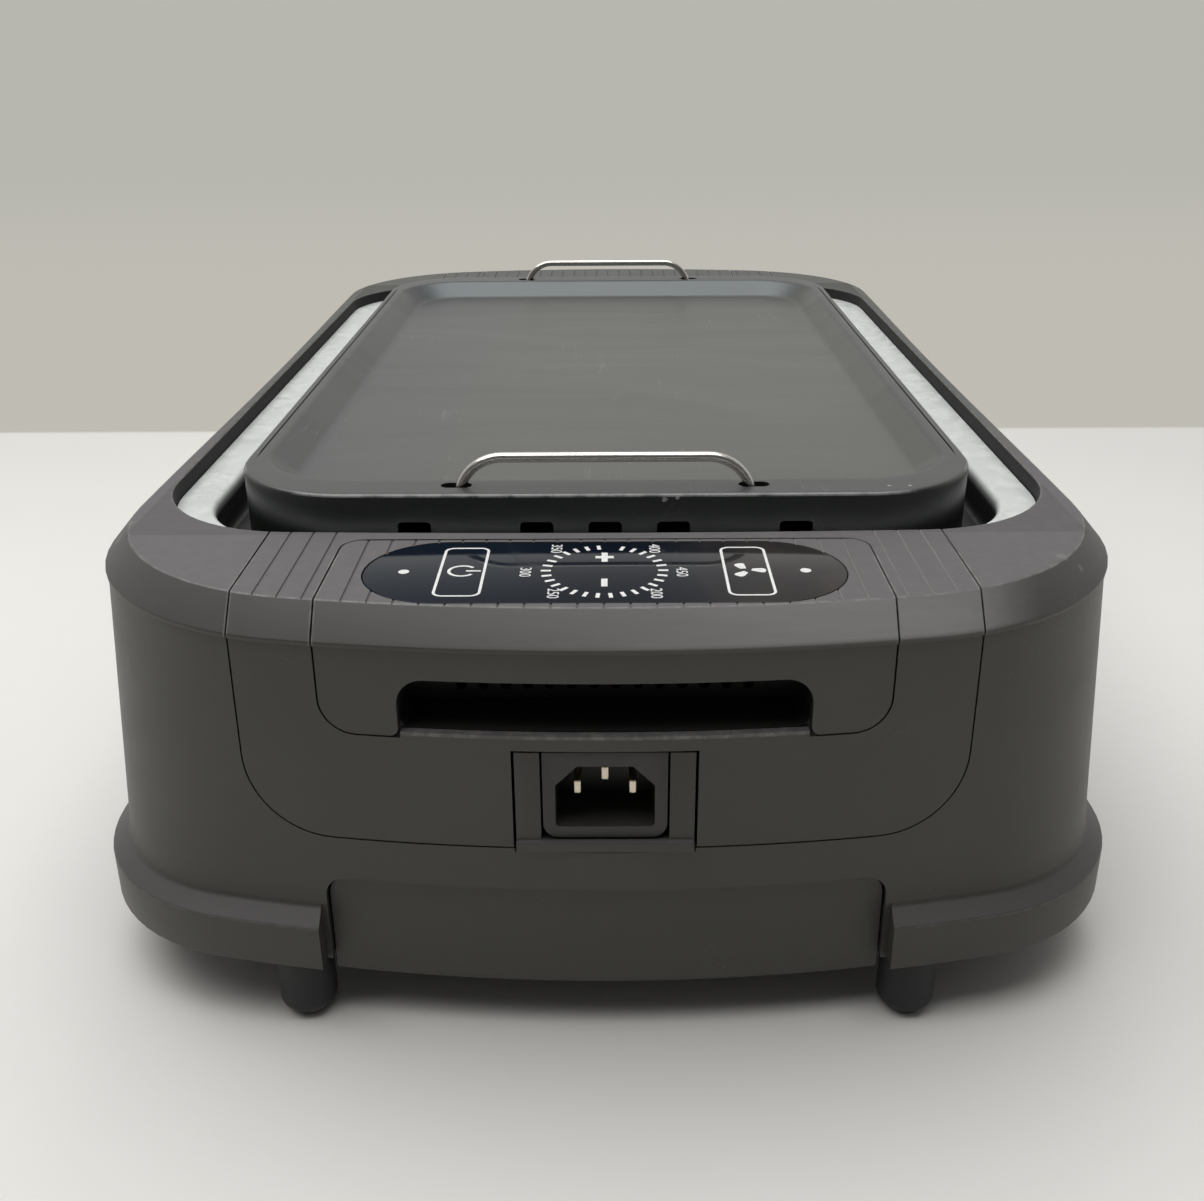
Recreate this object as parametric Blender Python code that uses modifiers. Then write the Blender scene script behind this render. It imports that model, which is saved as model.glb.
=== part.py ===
"""Smokeless indoor grill: a long housing with a lift-out griddle plate, a drip tray and a fan.

Metres, +Z up. The origin is on the table, under the middle of the grill. -Y is the control end.
"""
from math import asin, cos, pi, radians, sin, sqrt, tan

import bmesh
import bpy
from mathutils import Matrix, Vector

# Clearances
SEAT_GAP = 0.0003
SEAM_GAP = 0.00035
RUNNING_GAP = 0.0006
OVERRUN = 0.004
MERGE = 0.00002

# Housing seen from above
HALF_WIDTH = 0.143
HALF_LENGTH = 0.2525
END_BOW = 0.450
CORNER = 0.050
RIM_CORNER_PLACE = 0.067
RIM_CORNER = HALF_WIDTH - RIM_CORNER_PLACE
WALL_CORNER_STEP = 0.0015
WALL_CORNER = RIM_CORNER - WALL_CORNER_STEP
WAIST = 0.0012
CORNER_STEPS = 6
END_STEPS = 8
SIDE_STEPS = 4

# Heights of the housing
FOOT_HEIGHT = 0.020
SKIRT_TOP = 0.0332
WALL_FOOT = 0.0373
BAND_BOTTOM = 0.1143
BAND_EDGE = 0.0011
RIM_TOP = 0.1236
CHAMFER_RUN = 0.0072
BAND_STEP = 0.0010
SKIRT_REACH = 0.0055
HOUSING_WALL = 0.0026
RIM_WALL = 0.0020
RIM_SKIN = 0.0022

# Mouth of the rim
RIM_SIDE_WIDTH = 0.0116
RIM_END_WIDTH = 0.0585
MOUTH_HALF_WIDTH = HALF_WIDTH - RIM_SIDE_WIDTH
MOUTH_HALF_LENGTH = HALF_LENGTH - RIM_END_WIDTH
MOUTH_BOW = 2.4
MOUTH_CORNER = 0.045
LIP_TOP = 0.1175
LIP_REACH = 0.0040

# End panels
PANEL_SIDE_WIDTH = 0.0505
PANEL_HALF_WIDTH = HALF_WIDTH - PANEL_SIDE_WIDTH
PANEL_BOTTOM = 0.0595
PANEL_CORNER = 0.022
PANEL_WALL = 0.0024
PANEL_STATIONS = 16
PANEL_WINDOW_DEPTH = 0.030

# Consoles and hand holds
PANEL_CHEEK = 0.02185
CONSOLE_HALF_WIDTH = PANEL_HALF_WIDTH - PANEL_CHEEK
CONSOLE_BOTTOM = 0.0905
CONSOLE_DEPTH = 0.046
CONSOLE_BACK_CORNER = 0.006
CONSOLE_ARM_CORNER = 0.009
CONSOLE_ARM_INNER_CORNER = 0.004
CONSOLE_WALL = 0.0026
CONSOLE_FLANGE = 0.0040
CONSOLE_ARM_WIDTH = 0.01965
HOLD_HALF_WIDTH = CONSOLE_HALF_WIDTH - CONSOLE_ARM_WIDTH
HOLD_TOP = 0.1062
HOLD_BOTTOM = 0.0917
HOLD_CORNER = 0.007
RECESS_DEPTH = 0.022
RECESS_WALL = 0.0020
RECESS_CORNER = 0.003
VENT_COUNT = 14
VENT_PITCH = 0.0057
VENT_RADIUS = 0.0014
VENT_HEIGHT = 0.0955
VENT_SIDES = 6

# Grooves on the top faces of the console and end panels
GROOVE_PITCH = 0.0064
GROOVE_WIDTH = 0.0007
GROOVE_DEPTH = 0.0004
GROOVE_COUNT = 21

# Touch panel and its board
TOUCH_SIDE_MARGIN = 0.0084
TOUCH_HALF_LENGTH = CONSOLE_HALF_WIDTH - TOUCH_SIDE_MARGIN
TOUCH_DEPTH = 0.041
TOUCH_THICKNESS = 0.0015
TOUCH_FRONT_MARGIN = 0.0029
BOARD_THICKNESS = 0.0016
CONTROL_BOARD_MARGIN = 0.00425
CONTROL_BOARD_HALF_LENGTH = TOUCH_HALF_LENGTH - CONTROL_BOARD_MARGIN
CONTROL_BOARD_DEPTH = 0.030
CHIP_SIZE = 0.010
CHIP_HEIGHT = 0.0018

# Mains inlet
BEZEL_HALF_WIDTH = 0.01565
BEZEL_TOP = 0.0870
BEZEL_BOTTOM = 0.0624
BEZEL_CORNER = 0.004
BEZEL_SETBACK = 0.0006
INLET_DEPTH = 0.027
SOCKET_HALF_WIDTH = 0.0125
SOCKET_TOP = 0.0830
SOCKET_BOTTOM = 0.0656
SOCKET_CHAMFER = 0.0055
SOCKET_DEPTH = 0.0175
SOCKET_CORNER = 0.0008
PIN_PITCH = 0.014
PIN_HEIGHT = 0.0753
EARTH_RISE = 0.004
PIN_WIDTH = 0.002
PIN_BLADE = 0.004
PIN_SETBACK = 0.003
PIN_TAIL = 0.006
PIN_BEVEL = 0.0005
INLET_WINDOW_HALF_WIDTH = 0.0238
STRIP_OUTER = 0.0226
STRIP_INNER = 0.0162
STRIP_THICKNESS = 0.003
SILL_TOP = 0.0616
SILL_BOTTOM = 0.0585
SILL_PROUD = 0.0007

# Liner
LINER_SHEET = 0.0008
LINER_EDGE_GAP = 0.0004
FLANGE_SIDE_WIDTH = 0.0124
FLANGE_END_WIDTH = 0.0082
WELL_HALF_WIDTH = MOUTH_HALF_WIDTH - FLANGE_SIDE_WIDTH
WELL_HALF_LENGTH = MOUTH_HALF_LENGTH - FLANGE_END_WIDTH
WELL_CORNER = 0.034
SHELF_TOP = 0.1067
SHELF_REACH = 0.014
LINER_FLOOR = 0.0450
DRAIN_FALL = 0.0006
DRAIN_SIDE_MARGIN = 0.060
DRAIN_END_MARGIN = 0.0668
DRAIN_HALF_WIDTH = WELL_HALF_WIDTH - SHELF_REACH - DRAIN_SIDE_MARGIN
DRAIN_HALF_LENGTH = WELL_HALF_LENGTH - SHELF_REACH - DRAIN_END_MARGIN
DRAIN_CORNER = 0.020
INTAKE_RADIUS = 0.015

# Griddle plate
PLATE_SIDE_GAP = 0.0085
PLATE_END_GAP = 0.0045
PLATE_HALF_WIDTH = WELL_HALF_WIDTH - PLATE_SIDE_GAP
PLATE_HALF_LENGTH = WELL_HALF_LENGTH - PLATE_END_GAP
PLATE_BOW = 6.0
PLATE_CORNER = 0.027
PLATE_TOP = 0.1302
PLATE_EDGE = 0.0006
PLATE_WALL = 0.0030
PLATE_THICKNESS = 0.0035
PLATE_RIM_SIDE = 0.006
PLATE_RIM_END = 0.014
BASIN_HALF_WIDTH = PLATE_HALF_WIDTH - PLATE_RIM_SIDE
BASIN_HALF_LENGTH = PLATE_HALF_LENGTH - PLATE_RIM_END
BASIN_CORNER = 0.022
BASIN_RUN = 0.009
BASIN_DEPTH = 0.007
BASIN_ROOT = 0.0020
AIR_SLOT_TOP = 0.1220
AIR_SLOT_WIDTH = 0.0095
AIR_SLOT_PLACES = (-0.0545, -0.0195, 0.0, 0.0195, 0.0545)

# Wire handles
WIRE_RADIUS = 0.0015
WIRE_SETBACK = 0.0088
WIRE_RISE = 0.0083
WIRE_LEG = 0.0423
WIRE_TRAVEL = 0.012
WIRE_STOP_GAP = 0.0009
WIRE_TOE = 0.0097
WIRE_TOP_BEND = 0.0128
WIRE_LEG_BEND = 0.003
WIRE_SIDES_RESOLUTION = 2
SLOT_HALF_WIDTH = 0.0023
SLOT_INNER = 0.0384
SLOT_OUTER = 0.0474

# Heating element and its brackets
HEATER_RADIUS = 0.0033
HEATER_HEIGHT = 0.1126
HEATER_SIDE_MARGIN = 0.021
HEATER_END_MARGIN = 0.0218
HEATER_RUN_PITCH = 0.054
HEATER_LOOP_GAP = 0.032
HEATER_OUTER_RUN = WELL_HALF_WIDTH - SHELF_REACH - HEATER_SIDE_MARGIN
HEATER_INNER_RUN = HEATER_OUTER_RUN - HEATER_RUN_PITCH
HEATER_HALF_LENGTH = WELL_HALF_LENGTH - SHELF_REACH - HEATER_END_MARGIN
HEATER_TURN_BACK = HEATER_HALF_LENGTH - HEATER_LOOP_GAP
HEATER_BEND = 0.014
TERMINAL_PITCH = 0.028
TERMINAL_DROP = 0.0107
TERMINAL_HEIGHT = SHELF_TOP - TERMINAL_DROP
TERMINAL_TAIL = 0.024
BRACKET_SEAT = 0.0018
BRACKET_HALF_LENGTH = WELL_HALF_WIDTH - SHELF_REACH + BRACKET_SEAT
BRACKET_THICKNESS = 0.0020
BRACKET_WIDTH = 0.009
BRACKET_MARGIN = 0.048
BRACKET_PLACE = HEATER_TURN_BACK - BRACKET_MARGIN
BRACKET_EAR = 0.0012
BRACKET_EAR_RISE = 0.0030
BLOCK_HALF_LENGTH = 0.026
BLOCK_DEPTH = 0.014
BLOCK_HEIGHT = 0.014
BLOCK_CORNER = 0.002
CUTOUT_RADIUS = 0.008
CUTOUT_DEPTH = 0.009
CUTOUT_FLANGE = 0.0015
CUTOUT_FLANGE_RADIUS = 0.011
CUTOUT_PLACE = 0.060
CUTOUT_HEIGHT = 0.082

# Drip tray, runners and tunnel
DRAWER_SIDE_WIDTH = 0.0696
DRAWER_HALF_WIDTH = HALF_WIDTH - DRAWER_SIDE_WIDTH
DRAWER_TOP = 0.0460
DRAWER_BOTTOM = 0.0150
DRAWER_CORNER = 0.006
DRAWER_SETBACK = 0.0020
DRAWER_EDGE_THICKNESS = 0.00213
DRAWER_BOW = END_BOW - BAND_STEP - DRAWER_SETBACK
DRAWER_EDGE_REACH = HALF_LENGTH - END_BOW + sqrt(DRAWER_BOW ** 2 - DRAWER_HALF_WIDTH ** 2)
DRAWER_BACK = DRAWER_EDGE_REACH - DRAWER_EDGE_THICKNESS
SKIRT_CUT_GAP = 0.0023
SKIRT_CUT_HALF_WIDTH = DRAWER_HALF_WIDTH + SKIRT_CUT_GAP
JAMB_WIDTH = 0.0016
JAMB_BITE = 0.0005
JAMB_RISE = 0.0013
JAMB_OUTER = SKIRT_CUT_HALF_WIDTH + JAMB_WIDTH
TRAY_SIDE_SETBACK = 0.0054
TRAY_HALF_WIDTH = DRAWER_HALF_WIDTH - TRAY_SIDE_SETBACK
TRAY_REAR_MARGIN = 0.0521
TRAY_TOP = 0.0410
TRAY_BOTTOM = 0.0243
TRAY_WALL = 0.0015
TRAY_FLANGE = 0.0030
TRAY_CORNER = 0.010
RUNNER_WALL = 0.0022
RUNNER_FOOT = 0.0053
RUNNER_GAP = 0.0013
RUNNER_INNER = TRAY_HALF_WIDTH + RUNNER_GAP
TUNNEL_GAP = 0.0031
TUNNEL_HALF_WIDTH = DRAWER_HALF_WIDTH + TUNNEL_GAP
TUNNEL_TOP = 0.0500
TUNNEL_WALL = 0.0015
STANDOFF_RADIUS = 0.003
STANDOFF_HEIGHT = 0.004
STANDOFF_X = 0.052
POWER_BOARD_HALF_LENGTH = 0.060
POWER_BOARD_DEPTH = 0.034
POWER_BOARD_MARGIN = 0.004
RELAY_SIZE = (0.028, 0.012, 0.015)
CAPACITOR_RADIUS = 0.0055
CAPACITOR_HEIGHT = 0.014
TRANSFORMER_SIZE = (0.022, 0.020, 0.016)

# Bottom cover, bosses, screws and feet
COVER_THICKNESS = 0.0025
COVER_FIT = 0.0004
COVER_NOTCH_HALF_WIDTH = JAMB_OUTER + SEAT_GAP
BOSS_RADIUS = 0.0042
BOSS_TOP = 0.060
BOSS_INSET = 0.0071
BOSS_END_SETBACK = 0.1025
BOSS_ROW = HALF_LENGTH - BOSS_END_SETBACK
SCREW_HOLE = 0.0017
SCREW_RADIUS = 0.0013
SCREW_LENGTH = 0.011
SCREW_HEAD_RADIUS = 0.0033
SCREW_HEAD_HEIGHT = 0.0018
COVER_SLOT_LENGTH = 0.034
COVER_SLOT_WIDTH = 0.003
COVER_SLOT_PITCH = 0.008
COVER_SLOT_COUNT = 7
FOOT_DRAWER_GAP = 0.0096
FOOT_X = DRAWER_HALF_WIDTH + FOOT_DRAWER_GAP
FOOT_SETBACK = 0.00478
FOOT_Y = HALF_LENGTH - END_BOW + sqrt(END_BOW ** 2 - FOOT_X ** 2) - FOOT_SETBACK
FOOT_RADIUS = 0.0078
FOOT_DOME = 0.0045
FOOT_TOE_RADIUS = 0.0052
FOOT_PEG_RADIUS = 0.003
FOOT_PEG_RISE = 0.005

# Blower
FAN_HEIGHT = 0.064
FAN_DEPTH = 0.026
SCROLL_START = 0.0255
SCROLL_END = 0.031
SCROLL_WALL = 0.0018
SCROLL_STEPS = 28
DUCT_INNER = 0.009
IMPELLER_RADIUS = 0.0215
IMPELLER_WIDTH = 0.0165
IMPELLER_DISC = 0.0014
IMPELLER_RING = 0.0028
IMPELLER_HUB = 0.006
IMPELLER_HUB_RISE = 0.008
BLADE_COUNT = 18
BLADE_INNER = 0.0160
BLADE_OUTER = 0.0210
BLADE_THICKNESS = 0.0009
BLADE_LEAN = radians(28)
BLADE_STEPS = 3
SHAFT_RADIUS = 0.0015
MOTOR_RADIUS = 0.016
MOTOR_LENGTH = 0.022
MOTOR_BOSS_RADIUS = 0.006
MOTOR_BOSS_RISE = 0.0030
MOTOR_SHOULDER = 0.0015
FILTER_HALF_WIDTH = 0.026
FILTER_HALF_HEIGHT = 0.0155
FILTER_THICKNESS = 0.0015
FILTER_CORNER = 0.003
FILTER_SLOT_WIDTH = 0.0026
FILTER_SLOT_PITCH = 0.0052
FILTER_SLOT_COUNT = 9
FILTER_MARGIN = 0.004

# Finishes: colour, roughness and metallic value
FINISHES = {
    "graphite_plastic": ((0.055, 0.052, 0.049), 0.48, 0.0),
    "dark_plastic": ((0.030, 0.030, 0.030), 0.50, 0.0),
    "foot_rubber": ((0.022, 0.026, 0.026), 0.70, 0.0),
    "touch_glass": ((0.006, 0.009, 0.016), 0.08, 0.0),
    "socket_black": ((0.040, 0.039, 0.036), 0.45, 0.0),
    "pin_metal": ((0.62, 0.56, 0.46), 0.30, 1.0),
    "aluminised_sheet": ((0.62, 0.65, 0.66), 0.38, 0.9),
    "cast_plate": ((0.070, 0.080, 0.080), 0.42, 0.2),
    "handle_steel": ((0.55, 0.54, 0.51), 0.28, 1.0),
    "heater_tube": ((0.12, 0.12, 0.115), 0.45, 0.8),
    "zinc_sheet": ((0.50, 0.51, 0.52), 0.40, 0.9),
    "ceramic": ((0.72, 0.68, 0.60), 0.60, 0.0),
    "circuit_board": ((0.020, 0.110, 0.050), 0.45, 0.0),
    "fan_plastic": ((0.45, 0.46, 0.46), 0.45, 0.0),
}

# Derived sizes
TOUCH_HALF_DEPTH = TOUCH_DEPTH / 2
TOUCH_FRONT = HALF_LENGTH - CHAMFER_RUN - TOUCH_FRONT_MARGIN
TOUCH_MIDDLE = TOUCH_FRONT - TOUCH_HALF_DEPTH
CONSOLE_BACK = HALF_LENGTH - CHAMFER_RUN - CONSOLE_DEPTH
CONSOLE_UNDERSIDE = RIM_TOP - CONSOLE_WALL
LINER_TOP = LIP_TOP + SEAT_GAP + LINER_SHEET
RIM_UNDERSIDE = RIM_TOP - RIM_SKIN
PLATE_SEAT = SHELF_TOP + SEAT_GAP
PLATE_UNDERSIDE = PLATE_TOP - PLATE_THICKNESS
BASIN_FLOOR = PLATE_TOP - BASIN_DEPTH
WIRE_Y = PLATE_HALF_LENGTH - WIRE_SETBACK
WIRE_HOOK = PLATE_UNDERSIDE - WIRE_STOP_GAP - WIRE_RADIUS - WIRE_TRAVEL
LINER_END = WELL_HALF_LENGTH - SHELF_REACH
COVER_TOP = FOOT_HEIGHT + COVER_THICKNESS
COVER_SEAT = COVER_TOP + SEAT_GAP
FACE_INSET = BAND_STEP
INLET_FACE = HALF_LENGTH - FACE_INSET - BEZEL_SETBACK
INLET_BACK = INLET_FACE - INLET_DEPTH
SOCKET_BACK = INLET_FACE - SOCKET_DEPTH
TRAY_FRONT = DRAWER_BACK - SEAT_GAP
TRAY_REAR = LINER_END - TRAY_REAR_MARGIN
TUNNEL_REAR = LINER_END + LINER_SHEET + SEAT_GAP
SCROLL_FRONT = LINER_END + LINER_SHEET + SEAT_GAP
SCROLL_BACK = SCROLL_FRONT + FAN_DEPTH
IMPELLER_PLACE = SCROLL_BACK - SCROLL_WALL - RUNNING_GAP - MOTOR_BOSS_RISE
MOTOR_FACE = SCROLL_BACK + SEAT_GAP
PIN_PLACES = {
    "line": (PIN_PITCH / 2, PIN_HEIGHT),
    "neutral": (-PIN_PITCH / 2, PIN_HEIGHT),
    "earth": (0, PIN_HEIGHT + EARTH_RISE),
}


def clear_scene():
    for thing in list(bpy.data.objects):
        bpy.data.objects.remove(thing, do_unlink=True)
    for group in list(bpy.data.collections):
        bpy.data.collections.remove(group)


def new_collection(name):
    group = bpy.data.collections.new(name)
    bpy.context.scene.collection.children.link(group)
    return group


def finish(name):
    """The material of one finish, made once."""
    if name in bpy.data.materials:
        return bpy.data.materials[name]
    colour, roughness, metallic = FINISHES[name]
    material = bpy.data.materials.new(name)
    material.use_nodes = True
    shader = material.node_tree.nodes["Principled BSDF"]
    shader.inputs["Base Color"].default_value = (*colour, 1.0)
    shader.inputs["Roughness"].default_value = roughness
    shader.inputs["Metallic"].default_value = metallic
    material.diffuse_color = (*colour, 1.0)
    return material


def own_finish(name, node):
    """A copy of a finish for one piece, so that each piece has its own material."""
    material = finish(name).copy()
    material.name = node + "_finish"
    return material


def add_piece(name, mesh, finish_name, place=(0, 0, 0), turn=(0, 0, 0), smooth=True):
    """A finished piece in the grill's collection."""
    piece = bpy.data.objects.new(name, mesh)
    mesh.name = name
    mesh.materials.clear()
    mesh.materials.append(own_finish(finish_name, name))
    piece.location = place
    piece.rotation_euler = turn
    GRILL.objects.link(piece)
    if smooth:
        mesh.shade_smooth()
        mesh.set_sharp_from_angle(angle=radians(32))
    return piece


def add_cutter(name, mesh, place=(0, 0, 0), turn=(0, 0, 0)):
    """A hidden shape that cuts or joins."""
    cutter = bpy.data.objects.new(name, mesh)
    cutter.location = place
    cutter.rotation_euler = turn
    cutter.hide_render = True
    cutter.display_type = "WIRE"
    CUTTERS.objects.link(cutter)
    return cutter


def combine(piece, cutter, operation):
    step = piece.modifiers.new(cutter.name, "BOOLEAN")
    step.operation = operation
    step.solver = "EXACT"
    step.object = cutter
    return step


def cut(piece, cutter):
    return combine(piece, cutter, "DIFFERENCE")


def join(piece, other):
    return combine(piece, other, "UNION")


def keep(piece, other):
    return combine(piece, other, "INTERSECT")


def mesh_from(bm, name):
    mesh = bpy.data.meshes.new(name)
    bm.to_mesh(mesh)
    bm.free()
    return mesh


def plan(half_width, half_length, bow, corner, waist=0.0):
    """Points of an outline with bowed ends, round corners and slightly waisted sides, from above."""
    corner_x = half_width - corner
    bow_centre = half_length - bow
    corner_y = bow_centre + sqrt((bow - corner) ** 2 - corner_x ** 2)
    sweep = asin(corner_x / (bow - corner))
    turn = pi / 2 - sweep
    points = []

    def arc(centre_x, centre_y, radius, start, end, steps, first=0, last=0):
        for step in range(first, steps + 1 - last):
            angle = start + (end - start) * step / steps
            points.append((centre_x + radius * cos(angle), centre_y + radius * sin(angle)))

    def side(sign):
        for step in range(1, SIDE_STEPS):
            y = sign * corner_y * (2 * step / SIDE_STEPS - 1)
            pull = waist * (1 - (y / corner_y) ** 2) ** 2
            points.append((sign * (half_width - pull), y))

    side(1)
    arc(corner_x, corner_y, corner, 0, turn, CORNER_STEPS)
    arc(0, bow_centre, bow, turn, pi - turn, END_STEPS, 1, 1)
    arc(-corner_x, corner_y, corner, pi - turn, pi, CORNER_STEPS)
    side(-1)
    arc(-corner_x, -corner_y, corner, pi, pi + turn, CORNER_STEPS)
    arc(0, -bow_centre, bow, pi + turn, 2 * pi - turn, END_STEPS, 1, 1)
    arc(corner_x, -corner_y, corner, 2 * pi - turn, 2 * pi, CORNER_STEPS)
    return points


def outer_plan(inset, corner=CORNER):
    return plan(HALF_WIDTH - inset, HALF_LENGTH - inset, END_BOW - inset, corner - inset, WAIST)


def mouth_plan(inset):
    return plan(MOUTH_HALF_WIDTH - inset, MOUTH_HALF_LENGTH - inset, MOUTH_BOW, MOUTH_CORNER - inset)


def well_plan(inset):
    return plan(WELL_HALF_WIDTH - inset, WELL_HALF_LENGTH - inset, MOUTH_BOW, WELL_CORNER - inset)


def plate_plan(inset):
    return plan(PLATE_HALF_WIDTH - inset, PLATE_HALF_LENGTH - inset, PLATE_BOW, PLATE_CORNER - inset)


def basin_plan(inset):
    return plan(BASIN_HALF_WIDTH - inset, BASIN_HALF_LENGTH - inset, PLATE_BOW, BASIN_CORNER - inset)


def end_reach(x, inset):
    """How far the bowed end of the housing reaches from the middle, at x."""
    bow = END_BOW - inset
    return HALF_LENGTH - END_BOW + sqrt(bow ** 2 - x ** 2)


def shell_reach(x, inset, corner):
    """How far the shell reaches from the middle at x, its round corners counted in."""
    corner_x = HALF_WIDTH - corner
    inner_bow = END_BOW - corner
    if abs(x) * inner_bow <= corner_x * (END_BOW - inset):
        return end_reach(x, inset)
    corner_y = HALF_LENGTH - END_BOW + sqrt(inner_bow ** 2 - corner_x ** 2)
    return corner_y + sqrt((corner - inset) ** 2 - (abs(x) - corner_x) ** 2)


def wall_corner(height):
    """Radius of the wall's corners at a height: wide under the rim, tighter at the foot."""
    rise = (height - WALL_FOOT) / (BAND_BOTTOM - WALL_FOOT)
    return CORNER + (WALL_CORNER - CORNER) * rise


def mouth_reach(x, inset):
    """How far the rim's mouth reaches from the middle, at x."""
    corner = MOUTH_CORNER - inset
    corner_x = MOUTH_HALF_WIDTH - MOUTH_CORNER
    centre = MOUTH_HALF_LENGTH - inset - MOUTH_BOW
    tangent = corner_x * MOUTH_BOW / (MOUTH_BOW - corner)
    if abs(x) <= tangent:
        return centre + sqrt(MOUTH_BOW ** 2 - x ** 2)
    corner_y = centre + sqrt((MOUTH_BOW - corner) ** 2 - corner_x ** 2)
    return corner_y + sqrt(corner ** 2 - (abs(x) - corner_x) ** 2)


def rounded(corners, steps=5):
    """A flat outline from corners given as (u, v, radius)."""
    points = []
    count = len(corners)
    for index, (u, v, radius) in enumerate(corners):
        here = Vector((u, v))
        if radius <= 0:
            points.append(here)
            continue
        before = Vector(corners[index - 1][:2]) - here
        after = Vector(corners[(index + 1) % count][:2]) - here
        opening = before.angle(after)
        reach = radius / tan(opening / 2)
        start = here + before.normalized() * reach
        end = here + after.normalized() * reach
        middle = (before.normalized() + after.normalized()).normalized()
        centre = here + middle * (radius / sin(opening / 2))
        first = start - centre
        swing = first.angle_signed(end - centre)
        for step in range(steps + 1):
            turned = first.copy()
            turned.rotate(Matrix.Rotation(-swing * step / steps, 2))
            points.append(centre + turned)
    return [(point.x, point.y) for point in points]


def ring_loft(name, rings):
    """A closed band through outlines given as (points, height), last joined to first."""
    bm = bmesh.new()
    rows = []
    for points, height in rings:
        rows.append([bm.verts.new((x, y, height)) for x, y in points])
    count = len(rows[0])
    for level, row in enumerate(rows):
        following = rows[(level + 1) % len(rows)]
        for index in range(count):
            beside = (index + 1) % count
            bm.faces.new((row[index], row[beside], following[beside], following[index]))
    bmesh.ops.recalc_face_normals(bm, faces=bm.faces)
    return mesh_from(bm, name)


def capped_loft(name, rings):
    """A closed body through outlines given as (points, height), with its first and last capped."""
    bm = bmesh.new()
    rows = []
    for points, height in rings:
        rows.append([bm.verts.new((x, y, height)) for x, y in points])
    count = len(rows[0])
    for row, following in zip(rows, rows[1:]):
        for index in range(count):
            beside = (index + 1) % count
            bm.faces.new((row[index], row[beside], following[beside], following[index]))
    bm.faces.new(rows[0])
    bm.faces.new(rows[-1])
    bmesh.ops.recalc_face_normals(bm, faces=bm.faces)
    return mesh_from(bm, name)


def station_loft(name, half_width, stations, section):
    """A closed body across X. section(x) gives its (reach, height) outline, reach being -Y."""
    bm = bmesh.new()
    rows = []
    for step in range(stations + 1):
        x = half_width * (2 * step / stations - 1)
        rows.append([bm.verts.new((x, -reach, height)) for reach, height in section(x)])
    count = len(rows[0])
    for row, following in zip(rows, rows[1:]):
        for index in range(count):
            beside = (index + 1) % count
            bm.faces.new((row[index], row[beside], following[beside], following[index]))
    bm.faces.new(rows[0])
    bm.faces.new(rows[-1])
    bmesh.ops.recalc_face_normals(bm, faces=bm.faces)
    return mesh_from(bm, name)


AXIS_FRAMES = {
    "X": Matrix(((0, 0, 1, 0), (1, 0, 0, 0), (0, 1, 0, 0), (0, 0, 0, 1))),
    "Y": Matrix(((1, 0, 0, 0), (0, 0, -1, 0), (0, 1, 0, 0), (0, 0, 0, 1))),
    "Z": Matrix.Identity(4),
}


def slab(name, outline, low, high, axis="Z"):
    """A flat outline drawn as a curve, extruded from low to high along an axis.

    Across X the outline is (y, z), across Y it is (x, z), and across Z it is (x, y).
    """
    curve = bpy.data.curves.new(name, "CURVE")
    curve.dimensions = "2D"
    curve.fill_mode = "BOTH"
    curve.extrude = (high - low) / 2
    spline = curve.splines.new("POLY")
    spline.points.add(len(outline) - 1)
    for point, (u, v) in zip(spline.points, outline):
        point.co = (u, v, 0, 1)
    spline.use_cyclic_u = True
    drawn = bpy.data.objects.new(name, curve)
    bpy.context.scene.collection.objects.link(drawn)
    graph = bpy.context.evaluated_depsgraph_get()
    mesh = bpy.data.meshes.new_from_object(drawn.evaluated_get(graph))
    bpy.data.objects.remove(drawn, do_unlink=True)
    bpy.data.curves.remove(curve)
    bm = bmesh.new()
    bm.from_mesh(mesh)
    bpy.data.meshes.remove(mesh)
    bmesh.ops.remove_doubles(bm, verts=bm.verts, dist=MERGE)
    middle = (low + high) / 2
    shift = -middle if axis == "Y" else middle
    bmesh.ops.transform(bm, matrix=AXIS_FRAMES[axis] @ Matrix.Translation((0, 0, shift)), verts=bm.verts)
    bmesh.ops.recalc_face_normals(bm, faces=bm.faces)
    return mesh_from(bm, name)


def box(name, low, high):
    """A box between two corners, from a unit cube."""
    bm = bmesh.new()
    size = Vector(high) - Vector(low)
    middle = (Vector(high) + Vector(low)) / 2
    bmesh.ops.create_cube(bm, size=1, matrix=Matrix.Translation(middle) @ Matrix.Diagonal((*size, 1)))
    return mesh_from(bm, name)


def boxes(name, corners):
    """Separate boxes in one mesh, for a cutter that repeats."""
    bm = bmesh.new()
    for low, high in corners:
        size = Vector(high) - Vector(low)
        middle = (Vector(high) + Vector(low)) / 2
        bmesh.ops.create_cube(bm, size=1, matrix=Matrix.Translation(middle) @ Matrix.Diagonal((*size, 1)))
    return mesh_from(bm, name)


def rods(name, places, radius, low, high, axis="Z", sides=16):
    """Separate cylinders in one mesh, along an axis, at places given as in slab."""
    bm = bmesh.new()
    for u, v in places:
        stand = Matrix.Translation((u, v, (low + high) / 2 * (-1 if axis == "Y" else 1)))
        bmesh.ops.create_cone(bm, cap_ends=True, segments=sides, radius1=radius, radius2=radius,
                              depth=high - low, matrix=AXIS_FRAMES[axis] @ stand)
    bmesh.ops.recalc_face_normals(bm, faces=bm.faces)
    return mesh_from(bm, name)


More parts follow.
